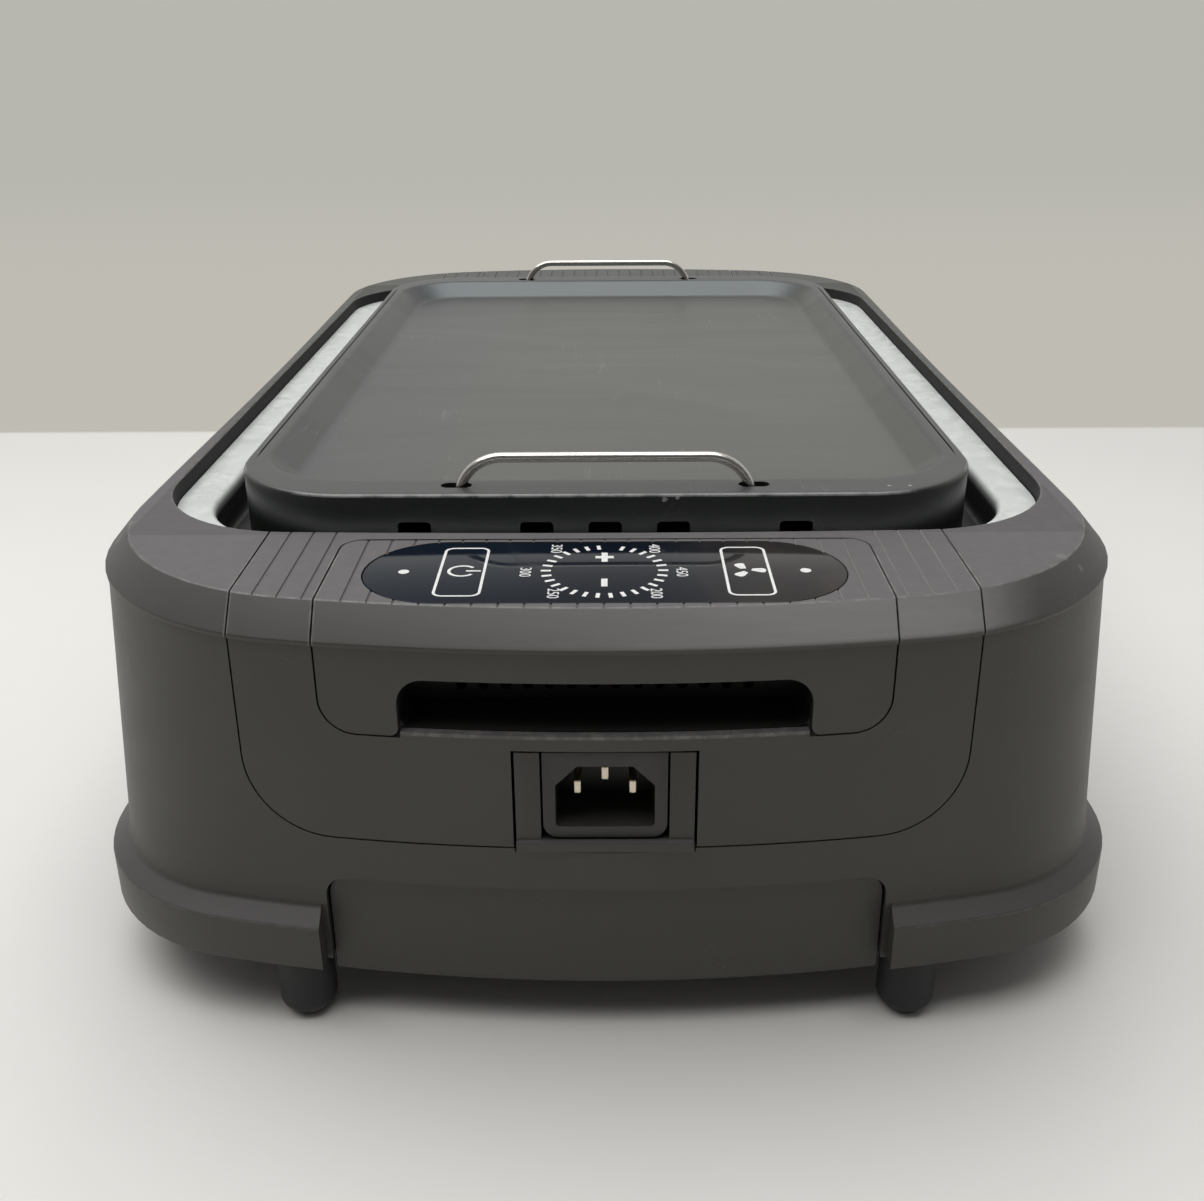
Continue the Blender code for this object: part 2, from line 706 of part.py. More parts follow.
def turned(name, profile, finish_name, place, turn=(0, 0, 0), steps=24):
    """A turned piece: its profile, (radius, height) from top to bottom, swept by Screw about local Z."""
    bm = bmesh.new()
    verts = [bm.verts.new((radius, 0, height)) for radius, height in profile]
    for first, second in zip(verts, verts[1:]):
        bm.edges.new((first, second))
    mesh = mesh_from(bm, name)
    piece = add_piece(name, mesh, finish_name, place, turn, smooth=False)
    sweep = piece.modifiers.new("Turn", "SCREW")
    sweep.steps = steps
    sweep.render_steps = steps
    sweep.use_merge_vertices = True
    sweep.merge_threshold = MERGE
    sweep.use_smooth_shade = False
    return piece


def bent_path(corners, steps=5):
    """Points along straight runs in space with round bends, corners given as (point, radius)."""
    points = []
    for index, (place, radius) in enumerate(corners):
        here = Vector(place)
        if radius <= 0:
            points.append(here)
            continue
        before = (Vector(corners[index - 1][0]) - here).normalized()
        after = (Vector(corners[index + 1][0]) - here).normalized()
        opening = before.angle(after)
        reach = radius / tan(opening / 2)
        centre = here + (before + after).normalized() * (radius / sin(opening / 2))
        first = here + before * reach - centre
        last = here + after * reach - centre
        swing = first.angle(last)
        for step in range(steps + 1):
            share = step / steps
            blend = first * sin((1 - share) * swing) + last * sin(share * swing)
            points.append(centre + blend / sin(swing))
    return points


def wire_mesh(name, points, radius, resolution=2):
    """A round wire along points, as a closed mesh."""
    curve = bpy.data.curves.new(name, "CURVE")
    curve.dimensions = "3D"
    curve.bevel_depth = radius
    curve.bevel_resolution = resolution
    curve.use_fill_caps = True
    spline = curve.splines.new("POLY")
    spline.points.add(len(points) - 1)
    for point, place in zip(spline.points, points):
        point.co = (*place, 1)
    drawn = bpy.data.objects.new(name, curve)
    bpy.context.scene.collection.objects.link(drawn)
    graph = bpy.context.evaluated_depsgraph_get()
    mesh = bpy.data.meshes.new_from_object(drawn.evaluated_get(graph))
    bpy.data.objects.remove(drawn, do_unlink=True)
    bpy.data.curves.remove(curve)
    bm = bmesh.new()
    bm.from_mesh(mesh)
    bpy.data.meshes.remove(mesh)
    bmesh.ops.remove_doubles(bm, verts=bm.verts, dist=MERGE)
    bmesh.ops.recalc_face_normals(bm, faces=bm.faces)
    return mesh_from(bm, name)


def base_housing():
    """Outer wall, ledge and skirt, with a window for each end panel and the drawer's opening."""
    wall = FACE_INSET
    skirt = FACE_INSET - SKIRT_REACH
    drop = WALL_FOOT - SKIRT_TOP
    top = BAND_BOTTOM - SEAT_GAP
    rings = [
        (outer_plan(wall, WALL_CORNER), top),
        (outer_plan(wall), WALL_FOOT),
        (outer_plan(skirt), SKIRT_TOP),
        (outer_plan(skirt), FOOT_HEIGHT),
        (outer_plan(skirt + HOUSING_WALL), FOOT_HEIGHT),
        (outer_plan(skirt + HOUSING_WALL), WALL_FOOT - drop - HOUSING_WALL / 2),
        (outer_plan(wall + HOUSING_WALL), WALL_FOOT - HOUSING_WALL / 2),
        (outer_plan(wall + HOUSING_WALL, WALL_CORNER), top),
    ]
    housing = add_piece("base_housing", ring_loft("base_housing", rings), "graphite_plastic")
    join(housing, add_cutter("housing_bosses", rods(
        "housing_bosses", screw_places(), BOSS_RADIUS, COVER_SEAT, BOSS_TOP)))
    cut(housing, add_cutter("boss_bores", rods(
        "boss_bores", screw_places(), SCREW_HOLE, FOOT_HEIGHT, COVER_SEAT + SCREW_LENGTH, sides=8)))
    for side, turn in (("front", 0), ("rear", pi)):
        join(housing, add_cutter("jambs_" + side, jambs("jambs_" + side), turn=(0, 0, turn)))
        window = slab("panel_window_" + side, panel_outline(SEAM_GAP), -HALF_LENGTH - OVERRUN,
                      -HALF_LENGTH + PANEL_WINDOW_DEPTH, "Y")
        cut(housing, add_cutter("panel_window_" + side, window, turn=(0, 0, turn)))
    notch = box("sill_notch", (-STRIP_OUTER - SEAM_GAP, -HALF_LENGTH - OVERRUN, SILL_BOTTOM - SEAM_GAP),
                (STRIP_OUTER + SEAM_GAP, -HALF_LENGTH + PANEL_WINDOW_DEPTH, PANEL_BOTTOM + OVERRUN))
    cut(housing, add_cutter("sill_notch", notch))
    side_gap = DRAWER_HALF_WIDTH + RUNNING_GAP
    over = DRAWER_TOP + RUNNING_GAP
    outline = rounded(((-side_gap, FOOT_HEIGHT - OVERRUN, 0), (side_gap, FOOT_HEIGHT - OVERRUN, 0),
                       (side_gap, over, DRAWER_CORNER), (-side_gap, over, DRAWER_CORNER)))
    for side, turn in (("front", 0), ("rear", pi)):
        skirt_cut = station_loft("skirt_cut_" + side, SKIRT_CUT_HALF_WIDTH, PANEL_STATIONS, lambda x: (
            (end_reach(x, skirt - OVERRUN), FOOT_HEIGHT - OVERRUN),
            (end_reach(x, skirt - OVERRUN), WALL_FOOT + SEAM_GAP),
            (end_reach(x, wall - MERGE), WALL_FOOT + SEAM_GAP),
            (end_reach(x, wall - MERGE), FOOT_HEIGHT - OVERRUN)))
        cut(housing, add_cutter("skirt_cut_" + side, skirt_cut, turn=(0, 0, turn)))
        opening = slab("low_opening_" + side, outline, -HALF_LENGTH - SKIRT_REACH - OVERRUN,
                       -DRAWER_BACK + OVERRUN, "Y")
        cut(housing, add_cutter("low_opening_" + side, opening, turn=(0, 0, turn)))
    return housing


def jambs(name):
    """Two posts that close the wall under the ledge beside the drawer's opening."""
    reach = end_reach(JAMB_OUTER, FACE_INSET - SKIRT_REACH + HOUSING_WALL - JAMB_BITE)
    back = DRAWER_BACK + SEAT_GAP
    top = SKIRT_TOP + JAMB_RISE
    return boxes(name, [((-JAMB_OUTER, -reach, FOOT_HEIGHT), (-DRAWER_HALF_WIDTH, -back, top)),
                        ((DRAWER_HALF_WIDTH, -reach, FOOT_HEIGHT), (JAMB_OUTER, -back, top))])


def screw_places():
    """The six screws of the bottom cover: three along each side."""
    reach = HALF_WIDTH - BOSS_INSET
    return [(side * (reach - (WAIST if row == 0 else 0)), row * BOSS_ROW)
            for side in (-1, 1) for row in (-1, 0, 1)]


def panel_outline(grow):
    """Front view of an end panel: straight sides, round bottom corners."""
    half = PANEL_HALF_WIDTH + grow
    bottom = PANEL_BOTTOM - grow
    top = RIM_TOP + OVERRUN
    corner = PANEL_CORNER + grow
    return rounded(((-half, bottom, corner), (half, bottom, corner), (half, top, 0), (-half, top, 0)))


def top_rim():
    """Chamfered band and top face, with the lip that carries the liner."""
    rings = [
        (mouth_plan(LIP_REACH), LIP_TOP),
        (mouth_plan(0), LIP_TOP),
        (mouth_plan(0), RIM_TOP),
        (outer_plan(CHAMFER_RUN, RIM_CORNER), RIM_TOP),
        (outer_plan(0, RIM_CORNER), BAND_BOTTOM + BAND_EDGE),
        (outer_plan(0, RIM_CORNER), BAND_BOTTOM),
        (outer_plan(RIM_SKIN, RIM_CORNER), BAND_BOTTOM),
        (outer_plan(RIM_SKIN, RIM_CORNER), BAND_BOTTOM + BAND_EDGE / 2),
        (outer_plan(CHAMFER_RUN + BAND_EDGE / 2, RIM_CORNER), RIM_UNDERSIDE),
        (mouth_plan(-RIM_WALL), RIM_UNDERSIDE),
        (mouth_plan(-RIM_WALL), LIP_TOP - RIM_SKIN),
        (mouth_plan(LIP_REACH), LIP_TOP - RIM_SKIN),
    ]
    rim = add_piece("top_rim", ring_loft("top_rim", rings), "graphite_plastic")
    half = PANEL_HALF_WIDTH + SEAM_GAP
    inner = MOUTH_HALF_LENGTH - OVERRUN
    step = MOUTH_HALF_LENGTH + OVERRUN
    outer = HALF_LENGTH + OVERRUN
    for side, turn in (("front", 0), ("rear", pi)):
        outline = ((-inner, LIP_TOP), (-inner, RIM_TOP + OVERRUN), (-outer, RIM_TOP + OVERRUN),
                   (-outer, PANEL_BOTTOM), (-step, PANEL_BOTTOM), (-step, LIP_TOP))
        window = slab("rim_window_" + side, outline, -half, half, "X")
        cut(rim, add_cutter("rim_window_" + side, window, turn=(0, 0, turn)))
    return rim


def console_outline(grow, floor):
    """Front view of a console, grown by a gap, its middle standing on floor."""
    half = CONSOLE_HALF_WIDTH + grow
    bottom = CONSOLE_BOTTOM - grow
    hold = HOLD_HALF_WIDTH - grow
    top = RIM_TOP + OVERRUN
    corner = CONSOLE_ARM_CORNER + grow
    arched = floor > HOLD_BOTTOM
    inner = CONSOLE_ARM_INNER_CORNER if arched else 0
    upper = HOLD_CORNER if arched else 0
    return rounded(((-half, top, 0), (-half, bottom, corner), (-hold, bottom, inner), (-hold, floor, upper),
                    (hold, floor, upper), (hold, bottom, inner), (half, bottom, corner), (half, top, 0)))


def console_blank(name, grow, floor, turn):
    """The block of space that a console takes: its front outline and its outline from above."""
    back = CONSOLE_BACK - grow
    reach = HALF_LENGTH + OVERRUN
    front = slab(name, console_outline(grow, floor), -reach, -back, "Y")
    blank = add_cutter(name, front, turn=(0, 0, turn))
    half = CONSOLE_HALF_WIDTH + grow
    corner = CONSOLE_BACK_CORNER + grow
    above = rounded(((-half, -reach - OVERRUN, 0), (half, -reach - OVERRUN, 0),
                     (half, -back, corner), (-half, -back, corner)))
    footprint = slab(name + "_footprint", above, CONSOLE_BOTTOM - 2 * OVERRUN, RIM_TOP + 2 * OVERRUN)
    keep(blank, add_cutter(name + "_footprint", footprint, turn=(0, 0, turn)))
    return blank


def panel_section(x):
    """Side view of an end panel at x, as a closed outline."""
    mouth = mouth_reach(x, 0)
    mouth_back = mouth_reach(x, -PANEL_WALL)
    bottom = PANEL_BOTTOM - OVERRUN
    low_corner = wall_corner(bottom)
    return (
        (mouth, LIP_TOP + SEAT_GAP),
        (mouth, RIM_TOP),
        (shell_reach(x, CHAMFER_RUN, RIM_CORNER), RIM_TOP),
        (shell_reach(x, 0, RIM_CORNER), BAND_BOTTOM + BAND_EDGE),
        (shell_reach(x, 0, RIM_CORNER), BAND_BOTTOM),
        (shell_reach(x, FACE_INSET, WALL_CORNER), BAND_BOTTOM),
        (shell_reach(x, FACE_INSET, low_corner), bottom),
        (shell_reach(x, FACE_INSET + PANEL_WALL, low_corner), bottom),
        (shell_reach(x, FACE_INSET + PANEL_WALL, WALL_CORNER), BAND_BOTTOM + BAND_EDGE / 2),
        (shell_reach(x, CHAMFER_RUN + BAND_EDGE, RIM_CORNER), RIM_UNDERSIDE),
        (mouth_back, RIM_UNDERSIDE),
        (mouth_back, LIP_TOP + SEAT_GAP),
    )


def groove_lines(name, places, turn):
    """Fine grooves along Y in the top face, at places along X."""
    far = HALF_LENGTH + OVERRUN
    near = MOUTH_HALF_LENGTH - OVERRUN
    low = RIM_TOP - GROOVE_DEPTH
    high = RIM_TOP + OVERRUN
    corners = [((x - GROOVE_WIDTH / 2, -far, low), (x + GROOVE_WIDTH / 2, -near, high)) for x in places]
    return add_cutter(name, boxes(name, corners), turn=(0, 0, turn))


def end_panel(name, turn, with_inlet):
    """Panel set into an end of the housing and rim, with a window for its console."""
    mesh = station_loft(name, PANEL_HALF_WIDTH, PANEL_STATIONS, panel_section)
    panel = add_piece(name, mesh, "graphite_plastic", turn=(0, 0, turn))
    far = HALF_LENGTH + OVERRUN
    shape = slab(name + "_outline", panel_outline(0), -far, -MOUTH_HALF_LENGTH + OVERRUN, "Y")
    keep(panel, add_cutter(name + "_outline", shape, turn=(0, 0, turn)))
    side_places = []
    place = CONSOLE_HALF_WIDTH + GROOVE_PITCH / 2
    while place < PANEL_HALF_WIDTH - GROOVE_WIDTH:
        side_places += [-place, place]
        place += GROOVE_PITCH
    cut(panel, groove_lines(name + "_grooves", side_places, turn))
    cut(panel, console_blank(name + "_window", SEAM_GAP, HOLD_BOTTOM, turn))
    if with_inlet:
        low = (-INLET_WINDOW_HALF_WIDTH, -HALF_LENGTH - OVERRUN, PANEL_BOTTOM - OVERRUN)
        high = (INLET_WINDOW_HALF_WIDTH, -HALF_LENGTH + PANEL_WINDOW_DEPTH, BEZEL_TOP + SEAM_GAP)
        cut(panel, add_cutter("inlet_window", box("inlet_window", low, high)))
    return panel


def console_section(x):
    """Side view of a console at x, as a closed outline."""
    return (
        (CONSOLE_BACK, RIM_TOP),
        (end_reach(x, CHAMFER_RUN), RIM_TOP),
        (end_reach(x, 0), BAND_BOTTOM + BAND_EDGE),
        (end_reach(x, 0), BAND_BOTTOM),
        (end_reach(x, FACE_INSET), BAND_BOTTOM),
        (end_reach(x, FACE_INSET), CONSOLE_BOTTOM - OVERRUN),
        (end_reach(x, FACE_INSET + CONSOLE_WALL), CONSOLE_BOTTOM - OVERRUN),
        (end_reach(x, FACE_INSET + CONSOLE_WALL), BAND_BOTTOM + BAND_EDGE / 2),
        (end_reach(x, CHAMFER_RUN + BAND_EDGE), CONSOLE_UNDERSIDE),
        (CONSOLE_BACK + CONSOLE_WALL, CONSOLE_UNDERSIDE),
        (CONSOLE_BACK + CONSOLE_WALL, CONSOLE_UNDERSIDE - CONSOLE_FLANGE),
        (CONSOLE_BACK, CONSOLE_UNDERSIDE - CONSOLE_FLANGE),
    )


def stadium(half_length, half_depth, steps=7):
    """An outline with straight long edges and round ends, from above."""
    points = []
    for centre, start in ((half_length - half_depth, -pi / 2), (half_depth - half_length, pi / 2)):
        for step in range(steps + 1):
            angle = start + pi * step / steps
            points.append((centre + half_depth * cos(angle), half_depth * sin(angle)))
    return points


def shifted(outline, du, dv):
    return [(u + du, v + dv) for u, v in outline]


def console(name, turn, with_pocket):
    """Cover over a hand hold: top face, chamfer, front lip and two arms."""
    mesh = station_loft(name, CONSOLE_HALF_WIDTH, PANEL_STATIONS, console_section)
    cover = add_piece(name, mesh, "graphite_plastic", turn=(0, 0, turn))
    keep(cover, console_blank(name + "_blank", 0, HOLD_TOP, turn))
    places = [GROOVE_PITCH * (index - (GROOVE_COUNT - 1) / 2) for index in range(GROOVE_COUNT)]
    cut(cover, groove_lines(name + "_grooves", places, turn))
    if with_pocket:
        outline = stadium(TOUCH_HALF_LENGTH + SEAT_GAP, TOUCH_HALF_DEPTH + SEAT_GAP)
        floor = RIM_TOP - TOUCH_THICKNESS - SEAT_GAP
        pocket = slab("touch_pocket", shifted(outline, 0, -TOUCH_MIDDLE), floor, RIM_TOP + OVERRUN)
        cut(cover, add_cutter("touch_pocket", pocket))
    return cover


def hand_recess(name, turn):
    """Pocket behind a hand hold, with a row of vent holes in its back wall."""
    half = HOLD_HALF_WIDTH + RECESS_WALL
    low = HOLD_BOTTOM - RECESS_WALL
    high = HOLD_TOP + 2 * RECESS_WALL
    back = HALF_LENGTH - RECESS_DEPTH - RECESS_WALL
    face = FACE_INSET + CONSOLE_WALL + SEAT_GAP
    mesh = station_loft(name, half, PANEL_STATIONS, lambda x: (
        (back, low), (end_reach(x, face), low), (end_reach(x, face), high), (back, high)))
    pocket = add_piece(name, mesh, "dark_plastic", turn=(0, 0, turn))
    hold = HOLD_HALF_WIDTH
    ceiling = high - RECESS_WALL
    inner = rounded(((-hold, HOLD_BOTTOM, RECESS_CORNER), (hold, HOLD_BOTTOM, RECESS_CORNER),
                     (hold, ceiling, RECESS_CORNER), (-hold, ceiling, RECESS_CORNER)))
    wall = back + RECESS_WALL
    hollow = slab(name + "_hollow", inner, -HALF_LENGTH - OVERRUN, -wall, "Y")
    cut(pocket, add_cutter(name + "_hollow", hollow, turn=(0, 0, turn)))
    first = -VENT_PITCH * (VENT_COUNT - 1) / 2
    places = [(first + VENT_PITCH * index, VENT_HEIGHT) for index in range(VENT_COUNT)]
    vents = rods(name + "_vents", places, VENT_RADIUS, -wall - OVERRUN, -back + OVERRUN, "Y", VENT_SIDES)
    cut(pocket, add_cutter(name + "_vents", vents, turn=(0, 0, turn)))
    return pocket


def touch_panel():
    outline = stadium(TOUCH_HALF_LENGTH, TOUCH_HALF_DEPTH)
    mesh = slab("touch_panel", outline, -TOUCH_THICKNESS / 2, TOUCH_THICKNESS / 2)
    return add_piece("touch_panel", mesh, "touch_glass", (0, -TOUCH_MIDDLE, RIM_TOP - TOUCH_THICKNESS / 2))


def control_board():
    """Touch board just under the console's top skin, with two chips below."""
    top = CONSOLE_UNDERSIDE - SEAT_GAP
    half = CONTROL_BOARD_HALF_LENGTH
    front = TOUCH_MIDDLE + CONTROL_BOARD_DEPTH / 2
    mesh = box("control_board", (-half, -front, top - BOARD_THICKNESS),
               (half, -front + CONTROL_BOARD_DEPTH, top))
    board = add_piece("control_board", mesh, "circuit_board", smooth=False)
    chips = []
    for x in (-half / 2, half / 2):
        chips.append(((x - CHIP_SIZE / 2, -TOUCH_MIDDLE - CHIP_SIZE / 2, top - BOARD_THICKNESS - CHIP_HEIGHT),
                      (x + CHIP_SIZE / 2, -TOUCH_MIDDLE + CHIP_SIZE / 2, top - BOARD_THICKNESS / 2)))
    join(board, add_cutter("control_chips", boxes("control_chips", chips)))
    return board


def power_inlet():
    """Socket body: a block with a bezel face, a shaped socket and slots for three pins."""
    half = BEZEL_HALF_WIDTH
    top = BEZEL_TOP
    outline = rounded(((-half, BEZEL_BOTTOM, BEZEL_CORNER), (half, BEZEL_BOTTOM, BEZEL_CORNER),
                       (half, top, 0), (-half, top, 0)))
    block = slab("power_inlet", outline, -INLET_FACE, -INLET_BACK, "Y")
    body = add_piece("power_inlet", block, "socket_black")
    wide = SOCKET_HALF_WIDTH
    narrow = wide - SOCKET_CHAMFER
    shoulder = SOCKET_TOP - SOCKET_CHAMFER
    ease = SOCKET_CORNER
    socket = rounded(((-wide, SOCKET_BOTTOM, ease), (wide, SOCKET_BOTTOM, ease), (wide, shoulder, ease),
                      (narrow, SOCKET_TOP, ease), (-narrow, SOCKET_TOP, ease), (-wide, shoulder, ease)), 2)
    cut(body, add_cutter("socket", slab("socket", socket, -INLET_FACE - OVERRUN, -SOCKET_BACK, "Y")))
    slots = []
    for x, z in PIN_PLACES.values():
        reach_x = PIN_WIDTH / 2 + SEAT_GAP
        reach_z = PIN_BLADE / 2 + SEAT_GAP
        slots.append(((x - reach_x, -SOCKET_BACK - OVERRUN, z - reach_z),
                      (x + reach_x, -INLET_BACK + OVERRUN, z + reach_z)))
    cut(body, add_cutter("pin_slots", boxes("pin_slots", slots)))
    return body


def inlet_pins():
    """Three flat blades, bevelled at their edges."""
    length = INLET_DEPTH - PIN_SETBACK + PIN_TAIL
    corner = Vector((PIN_WIDTH / 2, length / 2, PIN_BLADE / 2))
    for key, (x, z) in PIN_PLACES.items():
        name = "inlet_pin_" + key
        mesh = box(name, -corner, corner)
        middle = INLET_FACE - PIN_SETBACK - length / 2
        pin = add_piece(name, mesh, "pin_metal", (x, -middle, z), smooth=False)
        ease = pin.modifiers.new("Ease", "BEVEL")
        ease.width = PIN_BEVEL
        ease.segments = 1


def inlet_frame():
    """Side strips and sill round the inlet, in one moulding."""
    back = INLET_FACE - STRIP_THICKNESS
    strip_top = BEZEL_TOP
    outline = ((-STRIP_OUTER, SILL_BOTTOM), (STRIP_OUTER, SILL_BOTTOM), (STRIP_OUTER, strip_top),
               (STRIP_INNER, strip_top), (STRIP_INNER, SILL_TOP), (-STRIP_INNER, SILL_TOP),
               (-STRIP_INNER, strip_top), (-STRIP_OUTER, strip_top))
    mesh = slab("inlet_frame", outline, -INLET_FACE, -back, "Y")
    frame = add_piece("inlet_frame", mesh, "graphite_plastic", smooth=False)
    sill = box("inlet_sill", (-STRIP_OUTER, -HALF_LENGTH + FACE_INSET - SILL_PROUD, SILL_BOTTOM),
               (STRIP_OUTER, -back - STRIP_THICKNESS / 2, SILL_TOP))
    join(frame, add_cutter("inlet_sill", sill))
    return frame


def liner():
    """Pressed heat liner: flange on the rim's lip, plate shelf, deep pan and drain."""
    under = LINER_SHEET
    floor_plan = well_plan(SHELF_REACH)
    floor_plan_out = well_plan(SHELF_REACH - under)
    drain = plan(DRAIN_HALF_WIDTH, DRAIN_HALF_LENGTH, MOUTH_BOW, DRAIN_CORNER)
    rings = [
        (mouth_plan(LINER_EDGE_GAP), LINER_TOP - under),
        (mouth_plan(LINER_EDGE_GAP), LINER_TOP),
        (well_plan(0), LINER_TOP),
        (well_plan(0), SHELF_TOP),
        (floor_plan, SHELF_TOP),
        (floor_plan, LINER_FLOOR),
        (drain, LINER_FLOOR - DRAIN_FALL),
        (drain, LINER_FLOOR - DRAIN_FALL - under),
        (floor_plan_out, LINER_FLOOR - under),
        (floor_plan_out, SHELF_TOP - under),
        (well_plan(-under), SHELF_TOP - under),
        (well_plan(-under), LINER_TOP - under),
    ]
    sheet = add_piece("liner", ring_loft("liner", rings), "aluminised_sheet")
    ends = [(-TERMINAL_PITCH / 2, TERMINAL_HEIGHT), (TERMINAL_PITCH / 2, TERMINAL_HEIGHT)]
    hole = HEATER_RADIUS + SEAT_GAP
    holes = rods("heater_holes", ends, hole, -LINER_END - OVERRUN, -LINER_END + OVERRUN, "Y")
    cut(sheet, add_cutter("heater_holes", holes))
    intake = rods("fan_intake", [(0, FAN_HEIGHT)], INTAKE_RADIUS, LINER_END - OVERRUN,
                  LINER_END + OVERRUN, "Y", 24)
    cut(sheet, add_cutter("fan_intake", intake))
    return sheet


def griddle_plate():
    """Cast plate: flat rim, sloping walls down to a flat basin, and a skirt all round."""
    slope = BASIN_ROOT
    rings = [
        (basin_plan(BASIN_RUN), BASIN_FLOOR),
        (basin_plan(0), PLATE_TOP),
        (plate_plan(PLATE_EDGE), PLATE_TOP),
        (plate_plan(0), PLATE_TOP - PLATE_EDGE),
        (plate_plan(0), PLATE_SEAT),
        (plate_plan(PLATE_WALL), PLATE_SEAT),
        (plate_plan(PLATE_WALL), PLATE_UNDERSIDE),
        (basin_plan(-slope), PLATE_UNDERSIDE),
        (basin_plan(BASIN_RUN - slope), BASIN_FLOOR - PLATE_THICKNESS),
    ]
    plate = add_piece("griddle_plate", capped_loft("griddle_plate", rings), "cast_plate")
    slots = []
    for side in (-1, 1):
        for end in (-1, 1):
            middle = side * (SLOT_INNER + SLOT_OUTER) / 2
            outline = stadium((SLOT_OUTER - SLOT_INNER) / 2, SLOT_HALF_WIDTH, 4)
            name = "handle_slot_%s_%s" % ("left" if side < 0 else "right", "front" if end < 0 else "rear")
            outline = shifted(outline, middle, end * WIRE_Y)
            slot = slab(name, outline, PLATE_UNDERSIDE - OVERRUN, PLATE_TOP + OVERRUN)
            slots.append(add_cutter(name, slot))
    for slot in slots:
        cut(plate, slot)
    notches = []
    for x in AIR_SLOT_PLACES:
        for end in (-1, 1):
            outer = end * (PLATE_HALF_LENGTH + OVERRUN)
            inner = end * (PLATE_HALF_LENGTH - PLATE_WALL - OVERRUN)
            notches.append(((x - AIR_SLOT_WIDTH / 2, min(outer, inner), PLATE_SEAT - OVERRUN),
                            (x + AIR_SLOT_WIDTH / 2, max(outer, inner), AIR_SLOT_TOP)))
    cut(plate, add_cutter("air_slots", boxes("air_slots", notches)))
    return plate


def wire_handle(name, end):
    """Pull-up handle of round wire: wide bends, legs through the plate's slots, toes turned out below."""
    hook = WIRE_HOOK - PLATE_TOP
    corners = [((-WIRE_LEG - WIRE_TOE, 0, hook), 0), ((-WIRE_LEG, 0, hook), WIRE_LEG_BEND),
               ((-WIRE_LEG, 0, WIRE_RISE), WIRE_TOP_BEND)]
    corners += [((-place[0], place[1], place[2]), bend) for place, bend in reversed(corners)]
    mesh = wire_mesh(name, bent_path(corners, 5), WIRE_RADIUS, WIRE_SIDES_RESOLUTION)
    return add_piece(name, mesh, "handle_steel", (0, end * WIRE_Y, PLATE_TOP))


def heating_element():
    """Bent tube heater with four long runs; both ends leave through the liner's front wall."""
    far = HEATER_HALF_LENGTH
    back = HEATER_TURN_BACK
    high = HEATER_HEIGHT
    half_pitch = TERMINAL_PITCH / 2
    dip = LINER_END - LINER_SHEET - OVERRUN
    corners = [((-half_pitch, -LINER_END - TERMINAL_TAIL, TERMINAL_HEIGHT), 0),
               ((-half_pitch, -dip, TERMINAL_HEIGHT), HEATER_BEND / 3),
               ((-half_pitch, -far, high), HEATER_BEND / 3),
               ((-half_pitch, -back - HEATER_BEND, high), HEATER_BEND / 2),
               ((-HEATER_OUTER_RUN, -back - HEATER_BEND, high), HEATER_BEND),
               ((-HEATER_OUTER_RUN, far, high), HEATER_BEND),
               ((-HEATER_INNER_RUN, far, high), HEATER_BEND),
               ((-HEATER_INNER_RUN, -back + HEATER_BEND, high), HEATER_BEND)]
    corners += [((-place[0], place[1], place[2]), bend) for place, bend in reversed(corners)]
    mesh = wire_mesh("heating_element", bent_path(corners, 3), HEATER_RADIUS, 2)
    return add_piece("heating_element", mesh, "heater_tube")


def element_bracket(name, y):
    """Flat bar across the liner's shelf with a pair of ears at each run of the heater."""
    low = SHELF_TOP + SEAT_GAP
    top = low + BRACKET_THICKNESS
    ear = top + BRACKET_EAR_RISE
    grip = HEATER_RADIUS + SEAT_GAP
    outline = [(-BRACKET_HALF_LENGTH, low), (BRACKET_HALF_LENGTH, low), (BRACKET_HALF_LENGTH, top)]
    for run in (HEATER_OUTER_RUN, HEATER_INNER_RUN, -HEATER_INNER_RUN, -HEATER_OUTER_RUN):
        outline += [(run + grip + BRACKET_EAR, top), (run + grip + BRACKET_EAR, ear), (run + grip, ear),
                    (run + grip, top), (run - grip, top), (run - grip, ear),
                    (run - grip - BRACKET_EAR, ear), (run - grip - BRACKET_EAR, top)]
    outline.append((-BRACKET_HALF_LENGTH, top))
    mesh = slab(name, outline, -BRACKET_WIDTH / 2, BRACKET_WIDTH / 2, "Y")
    return add_piece(name, mesh, "zinc_sheet", (0, y, 0), smooth=False)


def terminal_block():
    """Ceramic block round both ends of the heater, against the liner's front wall."""
    front = LINER_END + LINER_SHEET + SEAT_GAP
    half = BLOCK_HALF_LENGTH
    low = TERMINAL_HEIGHT - BLOCK_HEIGHT / 2
    high = TERMINAL_HEIGHT + BLOCK_HEIGHT / 2 - BLOCK_CORNER
    outline = rounded(((-half, low, BLOCK_CORNER), (half, low, BLOCK_CORNER),
                       (half, high, BLOCK_CORNER), (-half, high, BLOCK_CORNER)), 3)
    mesh = slab("terminal_block", outline, -front - BLOCK_DEPTH, -front, "Y")
    block = add_piece("terminal_block", mesh, "ceramic")
    ends = [(-TERMINAL_PITCH / 2, TERMINAL_HEIGHT), (TERMINAL_PITCH / 2, TERMINAL_HEIGHT)]
    bores = rods("block_bores", ends, HEATER_RADIUS + SEAT_GAP, -front - BLOCK_DEPTH - OVERRUN,
                 -front + OVERRUN, "Y")
    cut(block, add_cutter("block_bores", bores))
    return block


